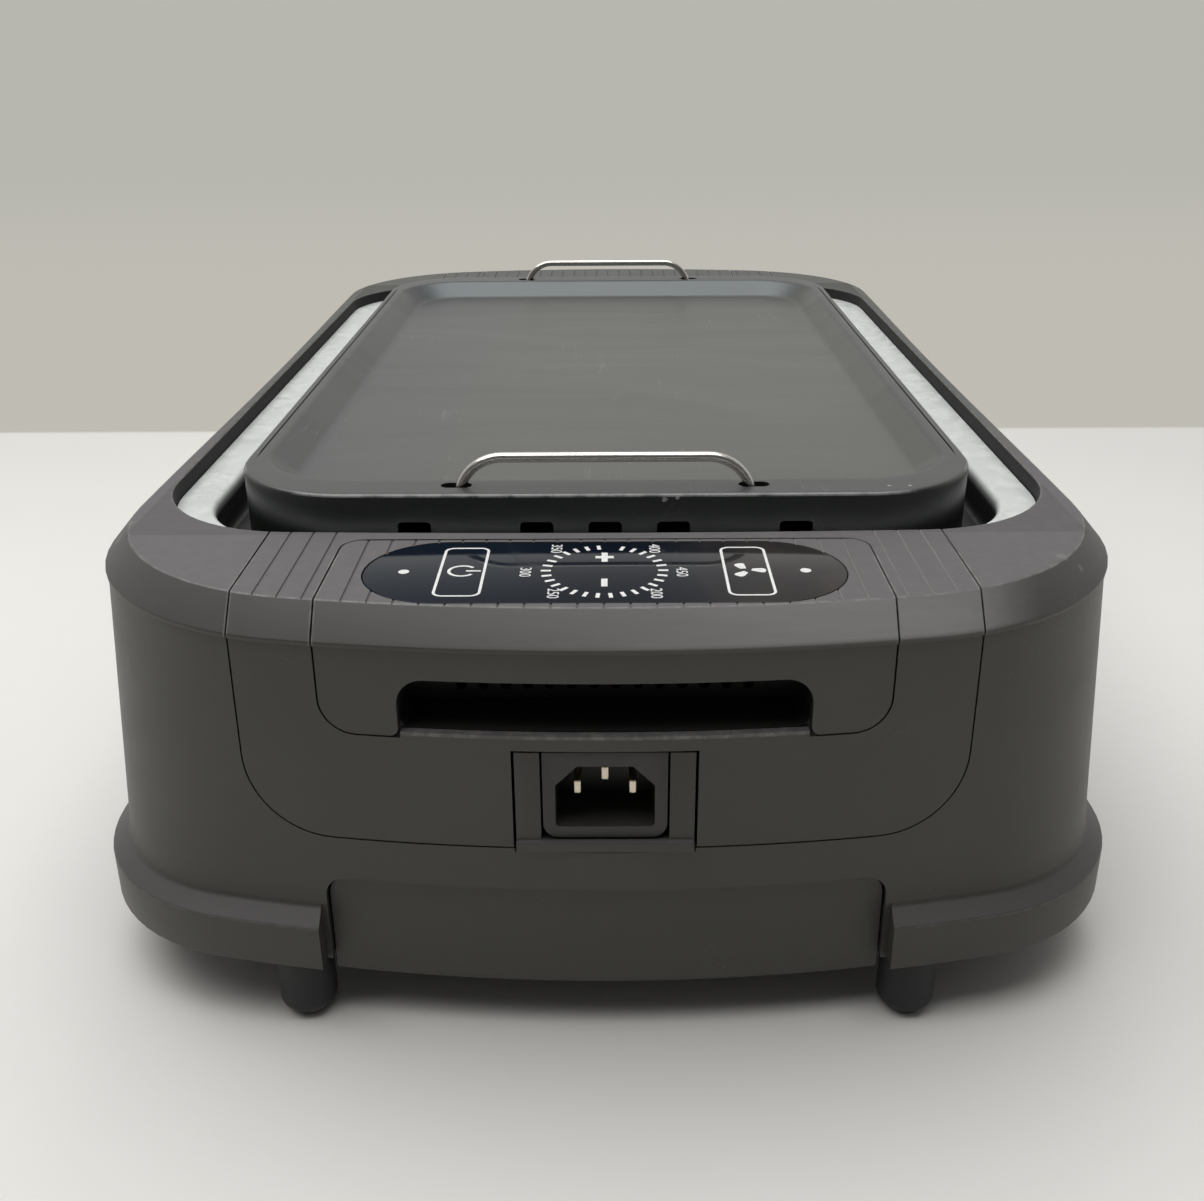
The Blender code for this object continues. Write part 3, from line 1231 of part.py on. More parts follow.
def thermal_cutout():
    """Round thermal switch with a flange against the liner's front wall."""
    face = LINER_END + LINER_SHEET + SEAT_GAP
    profile = ((0, CUTOUT_DEPTH), (CUTOUT_RADIUS, CUTOUT_DEPTH), (CUTOUT_RADIUS, CUTOUT_FLANGE),
               (CUTOUT_FLANGE_RADIUS, CUTOUT_FLANGE), (CUTOUT_FLANGE_RADIUS, 0), (0, 0))
    place = (CUTOUT_PLACE, -face, CUTOUT_HEIGHT)
    return turned("thermal_cutout", profile, "ceramic", place, (pi / 2, 0, 0), 16)


def drip_tray():
    """Open pan with a flange that rides on the runners."""
    half = TRAY_HALF_WIDTH
    middle = (TRAY_REAR - TRAY_FRONT) / 2
    reach = (TRAY_REAR + TRAY_FRONT) / 2

    def pan(inset):
        corner = max(TRAY_CORNER - inset, TRAY_WALL)
        side = half - inset
        end = reach - inset
        flat = rounded(((-side, -end, corner), (side, -end, corner),
                        (side, end, corner), (-side, end, corner)))
        return shifted(flat, 0, middle)

    wide = half + TRAY_FLANGE
    flange = shifted(rounded(((-wide, -reach, TRAY_CORNER), (wide, -reach, TRAY_CORNER),
                              (wide, reach, TRAY_CORNER), (-wide, reach, TRAY_CORNER))), 0, middle)
    rings = [
        (pan(TRAY_WALL + TRAY_FLANGE), TRAY_BOTTOM + TRAY_WALL),
        (pan(TRAY_WALL), TRAY_TOP),
        (flange, TRAY_TOP),
        (flange, TRAY_TOP - TRAY_WALL),
        (pan(0), TRAY_TOP - TRAY_WALL),
        (pan(TRAY_FLANGE), TRAY_BOTTOM),
    ]
    return add_piece("drip_tray", capped_loft("drip_tray", rings), "dark_plastic")


def bow_panel(name, back, finish_name, turn=0):
    """Bow-fronted panel in a low opening, between the two halves of the skirt, flat behind."""
    face = FACE_INSET + DRAWER_SETBACK
    mesh = station_loft(name, DRAWER_HALF_WIDTH, PANEL_STATIONS, lambda x: (
        (back, DRAWER_BOTTOM), (end_reach(x, face), DRAWER_BOTTOM),
        (end_reach(x, face), DRAWER_TOP), (back, DRAWER_TOP)))
    front = add_piece(name, mesh, finish_name, turn=(0, 0, turn))
    half = DRAWER_HALF_WIDTH
    outline = rounded(((-half, DRAWER_BOTTOM - OVERRUN, 0), (half, DRAWER_BOTTOM - OVERRUN, 0),
                       (half, DRAWER_TOP, DRAWER_CORNER), (-half, DRAWER_TOP, DRAWER_CORNER)))
    shape = slab(name + "_outline", outline, -HALF_LENGTH - OVERRUN, -back + OVERRUN, "Y")
    keep(front, add_cutter(name + "_outline", shape, turn=(0, 0, turn)))
    return front


def tray_runner(name, side):
    """Angle rail on the bottom cover under one flange of the tray."""
    inner = side * RUNNER_INNER
    wall = side * (RUNNER_INNER + RUNNER_WALL)
    foot = side * (RUNNER_INNER + RUNNER_FOOT)
    top = TRAY_TOP - TRAY_WALL - SEAT_GAP
    outline = ((inner, COVER_SEAT), (foot, COVER_SEAT), (foot, COVER_SEAT + RUNNER_WALL),
               (wall, COVER_SEAT + RUNNER_WALL), (wall, top), (inner, top))
    mesh = slab(name, outline, -TRAY_FRONT + TRAY_CORNER, TRAY_REAR, "Y")
    return add_piece(name, mesh, "zinc_sheet", smooth=False)


def tray_tunnel():
    """Folded cover over the tray in the control end, with standoffs for the power board."""
    half = TUNNEL_HALF_WIDTH
    inner = half - TUNNEL_WALL
    ceiling = TUNNEL_TOP - TUNNEL_WALL
    outline = ((-half, COVER_SEAT), (-inner, COVER_SEAT), (-inner, ceiling), (inner, ceiling),
               (inner, COVER_SEAT), (half, COVER_SEAT), (half, TUNNEL_TOP), (-half, TUNNEL_TOP))
    mesh = slab("tray_tunnel", outline, -DRAWER_BACK, -TUNNEL_REAR, "Y")
    tunnel = add_piece("tray_tunnel", mesh, "zinc_sheet", smooth=False)
    front = TUNNEL_REAR + POWER_BOARD_DEPTH
    places = [(side * STANDOFF_X, y) for side in (-1, 1)
              for y in (-front + STANDOFF_RADIUS, -TUNNEL_REAR - 2 * STANDOFF_RADIUS)]
    posts = rods("standoffs", places, STANDOFF_RADIUS, TUNNEL_TOP - TUNNEL_WALL / 2,
                 TUNNEL_TOP + STANDOFF_HEIGHT - SEAT_GAP, sides=10)
    join(tunnel, add_cutter("standoffs", posts))
    return tunnel


def power_board():
    """Power circuit board with a relay, a transformer and two capacitors."""
    low = TUNNEL_TOP + STANDOFF_HEIGHT
    top = low + BOARD_THICKNESS
    front = TUNNEL_REAR + POWER_BOARD_DEPTH
    back = TUNNEL_REAR + SEAT_GAP
    half = POWER_BOARD_HALF_LENGTH
    mesh = box("power_board", (-half, -front, low), (half, -back, top))
    board = add_piece("power_board", mesh, "circuit_board", smooth=False)
    middle = (front + back) / 2
    sink = BOARD_THICKNESS / 2
    left = half - POWER_BOARD_MARGIN
    relay = ((-left, -middle - RELAY_SIZE[1] / 2, top - sink),
             (-left + RELAY_SIZE[0], -middle + RELAY_SIZE[1] / 2, top + RELAY_SIZE[2]))
    transformer = ((-TRANSFORMER_SIZE[0] / 2, -middle - TRANSFORMER_SIZE[1] / 2, top - sink),
                   (TRANSFORMER_SIZE[0] / 2, -middle + TRANSFORMER_SIZE[1] / 2, top + TRANSFORMER_SIZE[2]))
    join(board, add_cutter("board_blocks", boxes("board_blocks", (relay, transformer))))
    spacing = 3 * CAPACITOR_RADIUS
    cans = [(left - CAPACITOR_RADIUS, -middle), (left - CAPACITOR_RADIUS - spacing, -middle)]
    join(board, add_cutter("capacitors", rods("capacitors", cans, CAPACITOR_RADIUS, top - sink,
                                              top + CAPACITOR_HEIGHT, sides=16)))
    return board


def foot_places():
    return {"foot_front_left": (-FOOT_X, -FOOT_Y), "foot_front_right": (FOOT_X, -FOOT_Y),
            "foot_rear_left": (-FOOT_X, FOOT_Y), "foot_rear_right": (FOOT_X, FOOT_Y)}


def feet():
    """Four round feet with domed soles, each with a peg up through the bottom cover."""
    top = FOOT_HEIGHT - SEAT_GAP
    peg_top = COVER_TOP + FOOT_PEG_RISE
    profile = [(0, peg_top), (FOOT_PEG_RADIUS, peg_top), (FOOT_PEG_RADIUS, top), (FOOT_RADIUS, top)]
    steps = 3
    for step in range(steps + 1):
        angle = pi / 2 * step / steps
        profile.append((FOOT_TOE_RADIUS + (FOOT_RADIUS - FOOT_TOE_RADIUS) * cos(angle),
                        FOOT_DOME * (1 - sin(angle))))
    profile.append((0, 0))
    for name, (x, y) in foot_places().items():
        turned(name, profile, "foot_rubber", (x, y, 0), steps=16)


def bottom_cover():
    """Base plate inside the skirt, notched for the drawer, with slots for air."""
    inset = FACE_INSET - SKIRT_REACH + HOUSING_WALL + COVER_FIT
    mesh = slab("bottom_cover", outer_plan(inset), FOOT_HEIGHT, COVER_TOP)
    cover = add_piece("bottom_cover", mesh, "dark_plastic", smooth=False)
    low = FOOT_HEIGHT - OVERRUN
    high = COVER_TOP + OVERRUN
    reach = HALF_LENGTH + SKIRT_REACH + OVERRUN
    for side, turn in (("front", 0), ("rear", pi)):
        notch = box("cover_notch_" + side, (-COVER_NOTCH_HALF_WIDTH, -reach, low),
                    (COVER_NOTCH_HALF_WIDTH, -DRAWER_BACK + RUNNING_GAP, high))
        cut(cover, add_cutter("cover_notch_" + side, notch, turn=(0, 0, turn)))
    holes = rods("cover_screw_holes", screw_places(), SCREW_HOLE, low, high, sides=8)
    cut(cover, add_cutter("cover_screw_holes", holes))
    places = list(foot_places().values())
    pegs = rods("cover_peg_holes", places, FOOT_PEG_RADIUS + SEAT_GAP, low, high, sides=16)
    cut(cover, add_cutter("cover_peg_holes", pegs))
    slots = []
    middle = (LINER_END + HALF_LENGTH) / 2
    for index in range(COVER_SLOT_COUNT):
        x = DUCT_INNER + COVER_SLOT_PITCH * (index - COVER_SLOT_COUNT / 2 + 1)
        for y in (middle, 0):
            slots.append(((x - COVER_SLOT_WIDTH / 2, y - COVER_SLOT_LENGTH / 2, low),
                          (x + COVER_SLOT_WIDTH / 2, y + COVER_SLOT_LENGTH / 2, high)))
    cut(cover, add_cutter("cover_slots", boxes("cover_slots", slots)))
    return cover


def cover_screws():
    """Pan-head screws up through the bottom cover into the housing's bosses."""
    head_top = FOOT_HEIGHT - SEAT_GAP
    head_low = head_top - SCREW_HEAD_HEIGHT
    shank_top = COVER_SEAT + SCREW_LENGTH - SEAT_GAP
    profile = ((0, shank_top), (SCREW_RADIUS, shank_top - SCREW_RADIUS), (SCREW_RADIUS, head_top),
               (SCREW_HEAD_RADIUS, head_top), (SCREW_HEAD_RADIUS, head_low + SCREW_HEAD_HEIGHT / 2),
               (SCREW_HEAD_RADIUS - SCREW_HEAD_HEIGHT / 2, head_low), (0, head_low))
    for index, (x, y) in enumerate(screw_places(), 1):
        turned("cover_screw_%d" % index, profile, "zinc_sheet", (x, y, 0), steps=8)


def scroll_outline(inset):
    """Front view of the blower's scroll about its axis, with its duct pointing down."""
    start = SCROLL_START - inset
    end = SCROLL_END - inset
    bottom = -(FAN_HEIGHT - COVER_SEAT) - (OVERRUN if inset else 0)
    duct_inner = DUCT_INNER + inset
    cutoff = sqrt(start ** 2 - duct_inner ** 2)
    first = -asin(cutoff / start)
    points = [(duct_inner, bottom)]
    for step in range(SCROLL_STEPS + 1):
        share = step / SCROLL_STEPS
        angle = first - (2 * pi + first) * share
        radius = start + (end - start) * share
        points.append((radius * cos(angle), radius * sin(angle)))
    points.append((end, bottom))
    return points


def fan_housing():
    """Scroll of the blower behind the liner's rear wall: intake in front, motor behind, duct down."""
    depth = SCROLL_WALL
    mesh = slab("fan_housing", scroll_outline(0), 0, FAN_DEPTH, "Y")
    place = (0, SCROLL_FRONT, FAN_HEIGHT)
    scroll = add_piece("fan_housing", mesh, "dark_plastic", place)
    hollow = slab("scroll_hollow", scroll_outline(SCROLL_WALL), depth, FAN_DEPTH - depth, "Y")
    cut(scroll, add_cutter("scroll_hollow", hollow, place))
    intake = rods("scroll_intake", [(0, 0)], INTAKE_RADIUS, -OVERRUN, FAN_DEPTH / 2, "Y", 24)
    cut(scroll, add_cutter("scroll_intake", intake, place))
    port = rods("motor_port", [(0, 0)], MOTOR_BOSS_RADIUS + RUNNING_GAP, FAN_DEPTH / 2,
                FAN_DEPTH + OVERRUN, "Y", 20)
    cut(scroll, add_cutter("motor_port", port, place))
    return scroll


def blade_outline(turn):
    """One forward-curved blade seen along the axis: an arc of even thickness."""
    points = []
    for edge in (1, -1):
        steps = range(BLADE_STEPS + 1) if edge == 1 else range(BLADE_STEPS, -1, -1)
        for step in steps:
            share = step / BLADE_STEPS
            radius = BLADE_INNER + (BLADE_OUTER - BLADE_INNER) * share
            angle = turn + BLADE_LEAN * share ** 2
            half = edge * BLADE_THICKNESS / 2 / radius
            points.append((radius * cos(angle + half), radius * sin(angle + half)))
    return points


def fan_impeller():
    """Wheel of the blower: disc and hub, a row of curved blades and a front ring."""
    place = (0, IMPELLER_PLACE, FAN_HEIGHT)
    back = 0
    disc_front = back - IMPELLER_DISC
    front = back - IMPELLER_WIDTH
    mesh = rods("fan_impeller", [(0, 0)], IMPELLER_RADIUS, disc_front, back, "Y", BLADE_COUNT * 2)
    wheel = add_piece("fan_impeller", mesh, "fan_plastic", place)
    hub = rods("impeller_hub", [(0, 0)], IMPELLER_HUB, disc_front - IMPELLER_HUB_RISE,
               back - IMPELLER_DISC / 2, "Y", 20)
    join(wheel, add_cutter("impeller_hub", hub, place))
    bm = bmesh.new()
    for index in range(BLADE_COUNT):
        blade = slab("blade", blade_outline(2 * pi * index / BLADE_COUNT), front + IMPELLER_RING / 2,
                     back - IMPELLER_DISC / 2, "Y")
        bm.from_mesh(blade)
        bpy.data.meshes.remove(blade)
    join(wheel, add_cutter("impeller_blades", mesh_from(bm, "impeller_blades"), place))
    rear = front + IMPELLER_RING
    ring = rods("impeller_ring", [(0, 0)], IMPELLER_RADIUS, front, rear, "Y", BLADE_COUNT * 2)
    ring_piece = add_cutter("impeller_ring", ring, place)
    middle = rods("impeller_eye", [(0, 0)], BLADE_INNER + BLADE_THICKNESS, front - OVERRUN,
                  rear + OVERRUN, "Y", BLADE_COUNT * 2)
    cut(ring_piece, add_cutter("impeller_eye", middle, place))
    join(wheel, ring_piece)
    bore = rods("impeller_bore", [(0, 0)], SHAFT_RADIUS + SEAT_GAP, disc_front - IMPELLER_HUB_RISE - OVERRUN,
                back + OVERRUN, "Y", 16)
    cut(wheel, add_cutter("impeller_bore", bore, place))
    return wheel


def fan_motor():
    """Round motor behind the scroll, its boss in the scroll's port and its shaft in the wheel's hub."""
    shaft = MOTOR_FACE - IMPELLER_PLACE + IMPELLER_DISC + IMPELLER_HUB_RISE
    boss = SCROLL_WALL + SEAT_GAP + MOTOR_BOSS_RISE - RUNNING_GAP
    profile = ((0, shaft), (SHAFT_RADIUS, shaft), (SHAFT_RADIUS, boss), (MOTOR_BOSS_RADIUS, boss),
               (MOTOR_BOSS_RADIUS, 0), (MOTOR_RADIUS - MOTOR_SHOULDER, 0), (MOTOR_RADIUS, -MOTOR_SHOULDER),
               (MOTOR_RADIUS, MOTOR_SHOULDER - MOTOR_LENGTH), (MOTOR_RADIUS - MOTOR_SHOULDER, -MOTOR_LENGTH),
               (0, -MOTOR_LENGTH))
    return turned("fan_motor", profile, "zinc_sheet", (0, MOTOR_FACE, FAN_HEIGHT), (pi / 2, 0, 0), 18)


def grease_filter():
    """Slotted plate over the fan's intake, inside the liner."""
    half = FILTER_HALF_WIDTH
    rise = FILTER_HALF_HEIGHT
    outline = rounded(((-half, -rise, FILTER_CORNER), (half, -rise, FILTER_CORNER),
                       (half, rise, FILTER_CORNER), (-half, rise, FILTER_CORNER)), 3)
    mesh = slab("grease_filter", outline, -FILTER_THICKNESS, 0, "Y")
    place = (0, LINER_END - SEAT_GAP, FAN_HEIGHT + SEAT_GAP)
    grille = add_piece("grease_filter", mesh, "zinc_sheet", place, smooth=False)
    slots = []
    for index in range(FILTER_SLOT_COUNT):
        x = FILTER_SLOT_PITCH * (index - (FILTER_SLOT_COUNT - 1) / 2)
        slots.append(((x - FILTER_SLOT_WIDTH / 2, -FILTER_THICKNESS - OVERRUN, FILTER_MARGIN - rise),
                      (x + FILTER_SLOT_WIDTH / 2, OVERRUN, rise - FILTER_MARGIN)))
    cut(grille, add_cutter("filter_slots", boxes("filter_slots", slots), place))
    return grille


def build_grill():
    base_housing()
    top_rim()
    end_panel("front_end_panel", 0, True)
    end_panel("rear_end_panel", pi, False)
    console("control_console", 0, True)
    console("rear_console", pi, False)
    hand_recess("front_hand_recess", 0)
    hand_recess("rear_hand_recess", pi)
    touch_panel()
    control_board()
    power_inlet()
    inlet_pins()
    inlet_frame()
    liner()
    griddle_plate()
    wire_handle("front_wire_handle", -1)
    wire_handle("rear_wire_handle", 1)
    heating_element()
    element_bracket("element_bracket_front", -BRACKET_PLACE)
    element_bracket("element_bracket_rear", BRACKET_PLACE)
    terminal_block()
    thermal_cutout()
    drip_tray()
    bow_panel("drip_tray_front", DRAWER_BACK, "graphite_plastic")
    bow_panel("rear_low_panel", DRAWER_BACK, "graphite_plastic", pi)
    tray_runner("tray_runner_left", -1)
    tray_runner("tray_runner_right", 1)
    tray_tunnel()
    power_board()
    bottom_cover()
    feet()
    cover_screws()
    fan_housing()
    fan_impeller()
    fan_motor()
    grease_filter()


clear_scene()
GRILL = new_collection("smokeless_grill")
CUTTERS = new_collection("cutters")
build_grill()
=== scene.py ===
"""Looks of a smokeless indoor grill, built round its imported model.

Metres, +Z up. The origin is on the table under the grill's middle, and -Y is the control end.
"""

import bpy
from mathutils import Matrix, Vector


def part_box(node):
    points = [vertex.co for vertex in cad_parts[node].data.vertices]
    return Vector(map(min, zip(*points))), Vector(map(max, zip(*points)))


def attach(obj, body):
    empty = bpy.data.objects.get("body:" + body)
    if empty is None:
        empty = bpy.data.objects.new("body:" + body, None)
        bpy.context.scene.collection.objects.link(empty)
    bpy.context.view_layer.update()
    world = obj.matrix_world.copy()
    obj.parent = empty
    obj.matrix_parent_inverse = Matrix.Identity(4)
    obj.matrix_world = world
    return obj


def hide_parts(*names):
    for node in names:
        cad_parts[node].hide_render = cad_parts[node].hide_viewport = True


bl_info = {
    "name": "Indoor Grill",
    "version": (1, 0, 0),
    "blender": (4, 5, 0),
    "location": "3D View > Sidebar > Grill",
    "description": "Builds a smokeless indoor grill with its finishes, lamps and camera",
    "category": "Add Mesh",
}

from math import asin, cos, pi, radians, sin, sqrt, tan

import bmesh
import bpy
from mathutils import Matrix, Vector

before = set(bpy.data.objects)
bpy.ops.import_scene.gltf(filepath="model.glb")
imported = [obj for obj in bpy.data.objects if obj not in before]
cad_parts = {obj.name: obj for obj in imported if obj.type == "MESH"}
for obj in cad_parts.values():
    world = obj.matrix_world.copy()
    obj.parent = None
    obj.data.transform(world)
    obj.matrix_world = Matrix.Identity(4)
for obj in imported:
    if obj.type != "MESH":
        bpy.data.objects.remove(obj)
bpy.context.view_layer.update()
RIM_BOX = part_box("top_rim")
HOUSING_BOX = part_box("base_housing")
PLATE_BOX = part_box("griddle_plate")
CONSOLE_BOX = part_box("control_console")
PANEL_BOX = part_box("front_end_panel")
TOUCH_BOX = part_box("touch_panel")
DRAWER_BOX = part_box("drip_tray_front")
LINER_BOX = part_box("liner")
FOOT_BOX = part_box("foot_front_right")

SEAT_GAP = 0.0003
SEAM_GAP = 0.0005
RUNNING_GAP = 0.0006
OVERRUN = 0.004
MERGE = 0.000005
CORNER_STEPS = 14
END_STEPS = 30
SIDE_STEPS = 20
STATIONS = 56
TURN_STEPS = 48


def length(name, description, default):
    """A length in metres."""
    return bpy.props.FloatProperty(name=name, description=description, default=default, unit="LENGTH", precision=5)


def tint(name, description, default):
    """A colour of a finish."""
    return bpy.props.FloatVectorProperty(name=name, description=description, default=default,
                                         size=3, subtype="COLOR", min=0, max=1)


def share(name, description, default):
    """A number from 0 to 1."""
    return bpy.props.FloatProperty(name=name, description=description, default=default,
                                   min=0, max=1, subtype="FACTOR")


class GrillSizes(bpy.types.PropertyGroup):
    half_width: length("Half width", "Half the rim's width", RIM_BOX[1].x)
    half_length: length("Half length", "Half the grill's length", -CONSOLE_BOX[0].y)
    end_bow: length("End bow", "Radius of the bowed ends", 0.450)
    corner: length("Corner", "Radius of the housing's corners at its foot", 0.050)
    wall_corner: length("Wall corner", "Radius of the wall's corners under the rim", RIM_BOX[1].x - 0.0685)
    rim_corner: length("Rim corner", "Radius of the rim's corners", RIM_BOX[1].x - 0.067)
    waist: length("Waist", "How far the long sides draw in", 0.0012)
    foot_height: length("Foot height", "Height of the skirt's lower edge", HOUSING_BOX[0].z)
    skirt_top: length("Skirt top", "Height of the skirt's upper edge", 0.0332)
    wall_foot: length("Wall foot", "Height at which the ledge meets the wall", 0.0373)
    skirt_reach: length("Skirt reach", "How far the skirt stands out from the wall", 0.0055)
    band_bottom: length("Band bottom", "Height of the rim's lower edge", RIM_BOX[0].z)
    band_edge: length("Band edge", "Height of the upright edge under the chamfer", 0.0011)
    band_step: length("Band step", "How far the rim stands out from the wall", 0.0010)
    chamfer_run: length("Chamfer", "Width of the rim's chamfer from above", 0.0072)
    rim_top: length("Rim top", "Height of the rim's top face", RIM_BOX[1].z)
    mouth_half_width: length("Mouth half width", "Half the width of the rim's mouth", 0.1314)
    mouth_half_length: length("Mouth half length", "Half the length of the rim's mouth", 0.194)
    lip_top: length("Lip top", "Height of the lip that carries the liner", 0.1175)
    panel_half_width: length("Panel half width", "Half the width of an end panel", PANEL_BOX[1].x)
    panel_bottom: length("Panel bottom", "Height of an end panel's lower edge", PANEL_BOX[0].z)
    panel_corner: length("Panel corner", "Radius of an end panel's lower corners", 0.022)
    console_half_width: length("Console half width", "Half the width of a console", CONSOLE_BOX[1].x)
    console_bottom: length("Console bottom", "Height of a console's arms", CONSOLE_BOX[0].z)
    console_back: length("Console back", "How far a console's back lies from the middle", -CONSOLE_BOX[1].y)
    hold_half_width: length("Hold half width", "Half the width of a hand hold", 0.051)
    hold_top: length("Hold top", "Height of a hand hold's upper edge", 0.1062)
    hold_bottom: length("Hold bottom", "Height of a hand hold's lower edge", 0.0917)
    recess_depth: length("Recess depth", "Depth of a hand hold's pocket", 0.022)
    groove_pitch: length("Groove pitch", "Spacing of the grooves on the end faces", 0.0064)
    groove_width: length("Groove width", "Width of a groove", 0.0007)
    groove_depth: length("Groove depth", "Depth of a groove", 0.00032)
    vent_pitch: length("Vent pitch", "Spacing of the vent holes", 0.0057)
    vent_radius: length("Vent radius", "Radius of a vent hole", 0.0014)
    plate_half_width: length("Plate half width", "Half the griddle plate's width", PLATE_BOX[1].x)
    plate_half_length: length("Plate half length", "Half the griddle plate's length", PLATE_BOX[1].y)
    plate_top: length("Plate top", "Height of the griddle plate's rim", PLATE_BOX[1].z)
    basin_depth: length("Basin depth", "Depth of the griddle plate's basin", 0.007)
    wire_radius: length("Wire radius", "Radius of the handles' wire", 0.0015)
    drawer_half_width: length("Drawer half width", "Half the width of the drip tray's front", DRAWER_BOX[1].x)
    foot_radius: length("Foot radius", "Radius of a foot", (FOOT_BOX[1].x - FOOT_BOX[0].x) / 2)


class GrillTints(bpy.types.PropertyGroup):
    shell: tint("Shell", "Graphite plastic of the housing", (0.046, 0.045, 0.039))
    # Painted sheen: a paler colour for upward faces, in place of light glancing off them.
    shell_dust: tint("Shell bloom", "Paler bloom on the plastic's upward faces", (0.092, 0.086, 0.090))
    inside: tint("Inside", "Dark plastic inside", (0.020, 0.020, 0.019))
    coating: tint("Coating", "Non-stick coating of the griddle plate", (0.007, 0.010, 0.008))
    sheet: tint("Sheet", "Aluminised sheet of the liner", (0.66, 0.68, 0.665))
    steel: tint("Steel", "Handles' steel", (0.74, 0.72, 0.67))
    glass: tint("Glass", "Touch panel", (0.004, 0.007, 0.013))
    print_white: tint("Print", "Marks on the touch panel", (0.80, 0.80, 0.79))
    socket: tint("Socket", "Inlet's plastic", (0.026, 0.025, 0.023))
    pin: tint("Pin", "Inlet's pins", (0.70, 0.62, 0.50))
    rubber: tint("Rubber", "Feet", (0.011, 0.013, 0.013))
    zinc: tint("Zinc", "Zinc-plated sheet", (0.55, 0.56, 0.57))


class GrillStage(bpy.types.PropertyGroup):
    camera_place: bpy.props.FloatVectorProperty(name="Camera place", description="Where the camera stands",
                                                default=(0.002, -0.5295, 0.249), subtype="XYZ", unit="LENGTH")
    pitch: bpy.props.FloatProperty(name="Pitch", description="How far the camera looks down",
                                   default=radians(23.5), subtype="ANGLE")
    yaw: bpy.props.FloatProperty(name="Yaw", description="How far the camera turns left",
                                 default=radians(0.5), subtype="ANGLE")
    roll: bpy.props.FloatProperty(name="Roll", description="How far the camera leans",
                                  default=radians(-0.4), subtype="ANGLE")
    lens: bpy.props.FloatProperty(name="Lens", description="Focal length in millimetres", default=38.87)
    table: tint("Table", "Table top", (0.74, 0.73, 0.70))
    wall: tint("Wall", "Behind the table", (0.525, 0.505, 0.455))
    wall_top: tint("Wall top", "Behind the table, higher up", (0.475, 0.472, 0.430))
    table_edge: length("Table edge", "Where the table ends behind the grill", 0.337)
    air_front: share("Air in front", "Strength of the light from the camera's side", 0.09)
    air_back: share("Air behind", "Strength of the light from behind the grill", 0.60)
    overhead: bpy.props.FloatProperty(name="Overhead", description="Power of the lamp above, in watts", default=26.0)
    window: bpy.props.FloatProperty(name="Window", description="Power of the lamp behind, in watts", default=26.0)


def sizes():
    return bpy.context.scene.grill_sizes


def tints():
    return bpy.context.scene.grill_tints


# Outlines


def plan(half_width, half_length, bow, corner, waist=0.0):
    """Points of an outline with bowed ends, round corners and slightly waisted sides, from above."""
    corner_x = half_width - corner
    bow_centre = half_length - bow
    corner_y = bow_centre + sqrt((bow - corner) ** 2 - corner_x ** 2)
    turn = pi / 2 - asin(corner_x / (bow - corner))
    points = []

    def arc(centre_x, centre_y, radius, start, end, steps, ends):
        for step in range(0 if ends else 1, steps + (1 if ends else 0)):
            angle = start + (end - start) * step / steps
            points.append(Vector((centre_x + radius * cos(angle), centre_y + radius * sin(angle))))

    def side(sign):
        for step in range(1, SIDE_STEPS):
            y = sign * corner_y * (2 * step / SIDE_STEPS - 1)
            pull = waist * (1 - (y / corner_y) ** 2) ** 2
            points.append(Vector((sign * (half_width - pull), y)))

    side(1)
    arc(corner_x, corner_y, corner, 0, turn, CORNER_STEPS, True)
    arc(0, bow_centre, bow, turn, pi - turn, END_STEPS, False)
    arc(-corner_x, corner_y, corner, pi - turn, pi, CORNER_STEPS, True)
    side(-1)
    arc(-corner_x, -corner_y, corner, pi, pi + turn, CORNER_STEPS, True)
    arc(0, -bow_centre, bow, pi + turn, 2 * pi - turn, END_STEPS, False)
    arc(corner_x, -corner_y, corner, 2 * pi - turn, 2 * pi, CORNER_STEPS, True)
    return points


MOUTH_BOW = 2.4
MOUTH_CORNER = 0.045
PLATE_BOW = 6.0
PLATE_CORNER = 0.036
BASIN_CORNER = 0.029
WELL_HALF_WIDTH = 0.119
WELL_HALF_LENGTH = 0.1858
WELL_CORNER = 0.034


def outer_plan(inset, corner=None):
    """Outline of the housing from above, drawn in by an inset."""
    size = sizes()
    corner = corner or size.rim_corner
    return plan(size.half_width - inset, size.half_length - inset, size.end_bow - inset, corner - inset, size.waist)


def mouth_plan(inset):
    """Outline of the rim's mouth."""
    size = sizes()
    return plan(size.mouth_half_width - inset, size.mouth_half_length - inset, MOUTH_BOW, MOUTH_CORNER - inset)


def well_plan(inset):
    """Outline of the liner's well."""
    return plan(WELL_HALF_WIDTH - inset, WELL_HALF_LENGTH - inset, MOUTH_BOW, WELL_CORNER - inset)


def plate_plan(inset):
    """Outline of the griddle plate."""
    size = sizes()
    return plan(size.plate_half_width - inset, size.plate_half_length - inset, PLATE_BOW, PLATE_CORNER - inset)


def basin_plan(inset):
    """Outline of the plate's basin."""
    size = sizes()
    return plan(size.plate_half_width - 0.006 - inset, size.plate_half_length - 0.014 - inset,
                PLATE_BOW, BASIN_CORNER - inset)


def end_reach(x, inset):
    """How far the housing's bowed end reaches from the middle, at x."""
    size = sizes()
    return size.half_length - size.end_bow + sqrt((size.end_bow - inset) ** 2 - x ** 2)


def wall_corner(height):
    """Radius of the wall's corners at a height: wide under the rim, tighter at the foot."""
    size = sizes()
    rise = (height - size.wall_foot) / (size.band_bottom - size.wall_foot)
    return size.corner + (size.wall_corner - size.corner) * min(1.0, max(0.0, rise))


